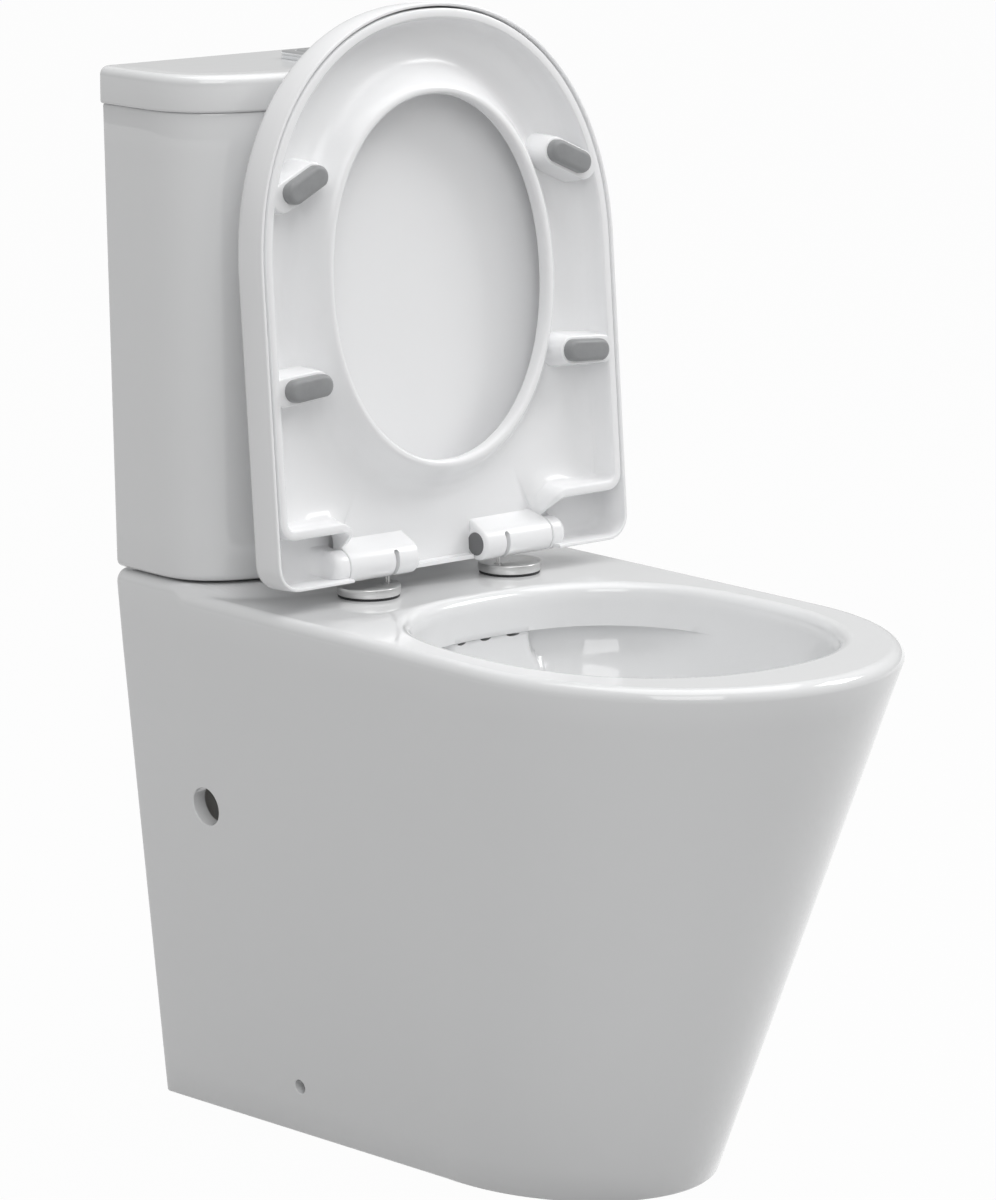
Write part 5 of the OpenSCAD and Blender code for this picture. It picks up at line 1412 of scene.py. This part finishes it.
class TOILET_OT_seat(bpy.types.Operator):
    """Make the seat ring with its recessed underside, buffer platforms and hinge barrels"""

    bl_idname = "toilet.make_seat"
    bl_label = "Seat"

    def execute(self, context):
        s = context.scene.toilet_seat
        plastic = [finishes["seat_plastic"]]
        seat = placed(build_seat(s), "seat_moulding", plastic)
        for spot in BUFFERS:
            for side in (-1, 1):
                pad = bmesh.new()
                verts = oblong(pad, s.buffer_length + 4 * MM, s.buffer_width + 5 * MM, -18.8 * MM, 7 * MM,
                               1.5 * MM, 3 * MM)
                outer = [v for v in verts if v.co.x * side > 0]
                bmesh.ops.translate(pad, vec=(side * 9 * MM, 0, 0), verts=outer)
                to_buffer(pad, pad.verts, side, spot)
                combined(seat, pad, "UNION")
        inner, outer = s.barrel_inner, s.barrel_outer - 0.35 * MM
        section = housing_section(s.barrel_radius)
        combined(seat, bar(section, -outer, -inner, 1.0 * MM, 2.8 * MM), "UNION")
        combined(seat, bar(section, inner, outer, 2.8 * MM, 1.0 * MM), "UNION")
        for side in (-1, 1):
            cuts = bmesh.new()
            x = side * POST_X
            block(cuts, (x - 2 * MM, -6.3 * MM, -20 * MM), (x + 2 * MM, 20 * MM, 6.5 * MM))
            combined(seat, cuts, "DIFFERENCE")
            eye = bmesh.new()
            rod(eye, (x, -5.6 * MM, -20 * MM), 2.4 * MM, 0, 14 * MM)
            combined(seat, eye, "DIFFERENCE")
        bore = bmesh.new()
        rod(bore, (33.8 * MM, 0, 0), 9.35 * MM, 0, 18.2 * MM, 48, (1, 0, 0))
        combined(seat, bore, "DIFFERENCE")
        stood_up(seat)
        belongs(seat, "seat", "seat_plastic", "seat_ring")

        pads = bmesh.new()
        foot, top = -s.drop - s.buffer_height, -s.drop + 0.3 * MM
        for spot in BUFFERS:
            for side in (-1, 1):
                verts = oblong(pads, s.buffer_length, s.buffer_width, foot, top, 4 * MM, 0.0)
                to_buffer(pads, verts, side, spot)
        raised(pads)
        buffers = placed(pads, "seat_buffer_pads", [finishes["grey_rubber"]])
        belongs(buffers, "seat", "grey_rubber", "seat_buffers")
        return {"FINISHED"}


REAR_STRIP = 1.5 * MM     # height above the axis where the cover's edge between the barrels starts
# Rows of the cover as (inset, height) in millimetres: from its underside down inside the skirt, round the
# skirt's foot from its lowest level, and over the outer edge up to its top
COVER_INSIDE = [(14.0, -0.2), (10.0, -0.8), (7.2, -1.9), (5.2, -3.9), (4.0, -6.8), (3.4, -10.0)]
COVER_FOOT = [(2.6, 0.35), (1.9, 0.0), (1.1, 0.0), (0.4, 0.35), (0.0, 1.2)]
COVER_EDGE = [(0.0, -12.0), (0.5, -8.6), (1.8, -5.4), (4.0, -3.0), (7.4, -1.5), (12.0, -0.9), (18.0, -0.6)]


class TOILET_OT_cover(bpy.types.Operator):
    """Make the seat's cover with its skirt and hinge lugs"""

    bl_idname = "toilet.make_cover"
    bl_label = "Cover"

    def execute(self, context):
        s = context.scene.toilet_seat
        outline = cover_outline(s)
        low = -s.drop
        high = s.cover_depth - s.drop
        under = high - s.cover_top
        middle = [(0.0, (s.cover_rear - s.cover_tip) / 2)] * len(outline)
        inner = shifted(outline, 18 * MM)
        shares = (0.96, 0.7, 0.4, 0.15, 0.05, 0.0)
        rings = [at_heights(blended(inner, middle, share), under) for share in shares]
        for inset, z in COVER_INSIDE:
            rings.append(at_heights(shifted(outline, inset * MM), under + z * MM))
        rings.append(at_heights(shifted(outline, 3 * MM), low + 1.2 * MM))
        for inset, z in COVER_FOOT:
            rings.append(at_heights(shifted(outline, inset * MM), low + z * MM))
        rings.append(at_heights(outline, high - 16 * MM))
        for inset, z in COVER_EDGE:
            rings.append(at_heights(shifted(outline, inset * MM), high + z * MM))
        for share in (0.08, 0.2, 0.4, 0.6, 0.8, 0.96):
            rings.append(at_heights(blended(inner, middle, share), high - 0.6 * MM * (1 - share) ** 2))
        cover = placed(lofted(rings), "cover_moulding", [finishes["seat_plastic"]])
        for side in (-1, 1):
            notch = bmesh.new()
            x0, x1 = sorted((side * 32.5 * MM, side * 106 * MM))
            block(notch, (x0, 0, low - 2 * MM), (x1, 20 * MM, under - 0.4 * MM))
            combined(cover, notch, "DIFFERENCE")
            combined(cover, pedestal(s, side, under), "UNION")
            x0, x1 = s.barrel_outer + 0.5 * MM, s.barrel_outer + 14.5 * MM
            span = (x0, x1, 1.0 * MM, 5.5 * MM) if side > 0 else (-x1, -x0, 5.5 * MM, 1.0 * MM)
            combined(cover, bar(round_section(s.barrel_radius), *span), "UNION")
        gap = bmesh.new()
        block(gap, (-33 * MM, 0, low - 2 * MM), (33 * MM, 20 * MM, REAR_STRIP))
        combined(cover, gap, "DIFFERENCE")
        stood_up(cover)
        belongs(cover, "cover", "seat_plastic", "seat_cover")
        return {"FINISHED"}


# ---------------------------------------------------------------- hinges

class TOILET_OT_hinges(bpy.types.Operator):
    """Make the turned hinge discs and the pins that stand in them"""

    bl_idname = "toilet.make_hinges"
    bl_label = "Hinges"

    def execute(self, context):
        for side in ("left", "right"):
            node = f"hinge_disc_{side}"
            low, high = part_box(node)
            radius, tall = (high.x - low.x) / 2, high.z - low.z
            centre = ((low.x + high.x) / 2, (low.y + high.y) / 2, low.z)
            profile = [(radius - 2 * MM, 0.3 * MM), (radius - 1.4 * MM, 0), (radius - 0.7 * MM, 0.1 * MM),
                       (radius - 0.6 * MM, 0.7 * MM), (radius - 0.1 * MM, 0.9 * MM), (radius, 1.1 * MM)]
            profile += [(radius, tall - 0.7 * MM), (radius - 0.1 * MM, tall - 0.35 * MM),
                        (radius - 0.35 * MM, tall - 0.1 * MM), (radius - 0.7 * MM, tall)]
            profile += [(0, tall), (0, tall - 1.6 * MM), (radius - 2 * MM, tall - 1.6 * MM),
                        (radius - 2 * MM, 0.3 * MM)]
            bm = bmesh.new()
            turned(bm, profile, centre, (0, 0, 1), 96)
            disc = placed(bm, node + "_turned", [finishes["hinge_steel"]], 30)
            hole = bmesh.new()
            x = math.copysign(POST_X, low.x)
            rod(hole, (x, HINGE.y, low.z), 3.2 * MM, -0.01, 0.02)
            combined(disc, hole, "DIFFERENCE", 30)
            belongs(disc, "pan", "hinge_steel", node)
            self.make_post(side, x, low.z, high.z)
        return {"FINISHED"}

    def make_post(self, side, x, foot, top):
        """Two slim pins that stand in the disc and carry the hinge pin's eye."""
        bm = bmesh.new()
        radius, tall = 2.9 * MM, top - foot
        profile = [(0, 0.2 * MM), (radius, 0.2 * MM), (radius, tall - 0.6 * MM), (2.6 * MM, tall - 0.3 * MM),
                   (0, tall - 0.3 * MM)]
        turned(bm, profile, (x, HINGE.y, foot), (0, 0, 1), 40)
        post = placed(bm, f"hinge_post_{side}_pins", [finishes["hinge_steel"]], 30)
        eye = bmesh.new()
        profile = [(4.1 * MM, -1.2 * MM), (5.6 * MM, -1.2 * MM), (6.0 * MM, -0.9 * MM), (6.0 * MM, 0.9 * MM),
                   (5.6 * MM, 1.2 * MM), (4.1 * MM, 1.2 * MM), (4.1 * MM, -1.2 * MM)]
        turned(eye, profile, (x, *HINGE.yz), (1, 0, 0), 48)
        combined(post, eye, "UNION", 30)
        for along in (-2.0, 2.0):
            pin = bmesh.new()
            place = (x + 0.25 * along * MM, HINGE.y + along * MM, foot)
            rod(pin, place, 0.75 * MM, 1 * MM, HINGE.z - foot - 4.6 * MM, 20)
            combined(post, pin, "UNION", 30)
        belongs(post, "pan", "hinge_steel", f"hinge_post_{side}")


class TOILET_OT_fittings(bpy.types.Operator):
    """Give the nodes that keep their own shape their finishes"""

    bl_idname = "toilet.finish_fittings"
    bl_label = "Fittings"

    def execute(self, context):
        slots = {part["node"]: part["material_slot"] for part in frame["record"]["subparts"]}
        for name, node in frame["nodes"].items():
            for slot in node.material_slots:
                slot.material = finishes[slots[name]]
        return {"FINISHED"}


# ---------------------------------------------------------------- stage

FLOOR_GREY = 0.46       # how much light the floor throws back at the object
FLOOR_WHITE = 0.97      # share of white that the camera and polished metal see; the rest keeps the shadow


class TOILET_OT_stage(bpy.types.Operator):
    """Make the floor, lamps, surroundings and camera"""

    bl_idname = "toilet.make_stage"
    bl_label = "Studio"

    def execute(self, context):
        s = context.scene.toilet_stage
        bm = bmesh.new()
        bmesh.ops.create_grid(bm, x_segments=1, y_segments=1, size=30.0)
        floor = placed(bm, "floor", [self.floor_finish()])
        self.make_surroundings(s)
        self.lamp("key_lamp", s.key, 1.3, (2.8, -1.3, 3.0), (0, 0, 0.55))
        self.lamp("fill_lamp", s.fill, 2.4, (-2.2, -3.0, 3.3), (0, 0, 0.5))
        self.lamp("overhead_lamp", s.ceiling, 2.3, (0.3, -0.1, 2.8), (0.15, -0.05, 0))
        camera = bpy.data.objects.new("camera", bpy.data.cameras.new("camera"))
        camera.location = s.camera_place
        camera.rotation_euler = (math.pi / 2 - s.camera_down, 0, s.camera_turn)
        camera.data.lens = s.lens
        camera.data.clip_end = 100
        context.scene.collection.objects.link(camera)
        context.scene.camera = camera
        context.scene.view_settings.view_transform = "Standard"
        return {"FINISHED"}

    def floor_finish(self):
        """White to the camera and to polished metal, with the object's shadow kept."""
        board = Board("studio_floor", Roughness=0.7, Specular_IOR_Level=0.1)
        board.shader.inputs["Base Color"].default_value = (FLOOR_GREY, FLOOR_GREY, FLOOR_GREY, 1)
        path = board.add("ShaderNodeLightPath", output="Is Camera Ray")
        shine = board.add("ShaderNodeLightPath", output="Is Glossy Ray")
        glow = board.add("ShaderNodeEmission", {}, {"Strength": 1.0})
        tree = board.tree
        mix = tree.nodes.new("ShaderNodeMixShader")
        share = (path + shine) * FLOOR_WHITE
        tree.links.new(share.socket, mix.inputs[0])
        tree.links.new(board.shader.outputs[0], mix.inputs[1])
        tree.links.new(glow.socket, mix.inputs[2])
        tree.links.new(mix.outputs[0], tree.nodes["Material Output"].inputs["Surface"])
        return board.material

    def make_surroundings(self, s):
        """Even light from all round, white behind the object."""
        world = bpy.data.worlds.new("studio")
        world.use_nodes = True
        tree = world.node_tree
        even = tree.nodes["Background"]
        even.inputs["Color"].default_value = (1, 1, 1, 1)
        even.inputs["Strength"].default_value = s.sky
        white = tree.nodes.new("ShaderNodeBackground")
        white.inputs["Color"].default_value = (1, 1, 1, 1)
        white.inputs["Strength"].default_value = 1.0
        path = tree.nodes.new("ShaderNodeLightPath")
        mix = tree.nodes.new("ShaderNodeMixShader")
        tree.links.new(path.outputs["Is Camera Ray"], mix.inputs[0])
        tree.links.new(even.outputs[0], mix.inputs[1])
        tree.links.new(white.outputs[0], mix.inputs[2])
        tree.links.new(mix.outputs[0], tree.nodes["World Output"].inputs["Surface"])
        bpy.context.scene.world = world

    def lamp(self, name, power, size, place, target):
        """A square soft lamp that faces a place."""
        data = bpy.data.lights.new(name, "AREA")
        data.energy = power
        data.size = size
        lamp = bpy.data.objects.new(name, data)
        lamp.location = place
        lamp.rotation_euler = (Vector(target) - Vector(place)).to_track_quat("-Z", "Y").to_euler()
        bpy.context.scene.collection.objects.link(lamp)


# ---------------------------------------------------------------- panel and registration

STEPS = (TOILET_OT_stage, TOILET_OT_pan, TOILET_OT_cistern, TOILET_OT_lid, TOILET_OT_buttons, TOILET_OT_seat,
         TOILET_OT_cover, TOILET_OT_hinges, TOILET_OT_fittings)
GROUPS = {"toilet_pan": PanSettings, "toilet_cistern": CisternSettings, "toilet_seat": SeatSettings,
          "toilet_finish": FinishSettings, "toilet_stage": StageSettings}


class TOILET_PT_panel(bpy.types.Panel):
    """The toilet's sizes, colours and steps"""

    bl_idname = "TOILET_PT_panel"
    bl_label = "Back to Wall Toilet"
    bl_space_type = "VIEW_3D"
    bl_region_type = "UI"
    bl_category = "Toilet"

    def draw(self, context):
        for step in STEPS:
            self.layout.operator(step.bl_idname)
        for name, group in GROUPS.items():
            box = self.layout.box()
            box.label(text=group.__doc__)
            for prop in group.__annotations__:
                box.prop(getattr(context.scene, name), prop)


def register():
    """Adds the settings, operators and panel."""
    for name, group in GROUPS.items():
        bpy.utils.register_class(group)
        setattr(bpy.types.Scene, name, bpy.props.PointerProperty(type=group))
    for made in (*STEPS, TOILET_PT_panel):
        bpy.utils.register_class(made)


def unregister():
    """Takes them away again."""
    for made in (TOILET_PT_panel, *reversed(STEPS)):
        bpy.utils.unregister_class(made)
    for name, group in GROUPS.items():
        delattr(bpy.types.Scene, name)
        bpy.utils.unregister_class(group)


def main():
    """Makes the finishes, the stage and every piece."""
    register()
    make_finishes(bpy.context.scene.toilet_finish)
    bpy.ops.toilet.make_stage()
    bpy.ops.toilet.make_pan()
    bpy.ops.toilet.make_cistern()
    bpy.ops.toilet.make_lid()
    bpy.ops.toilet.make_buttons()
    bpy.ops.toilet.make_seat()
    bpy.ops.toilet.make_cover()
    bpy.ops.toilet.make_hinges()
    bpy.ops.toilet.finish_fittings()


if __name__ == "__main__":
    main()
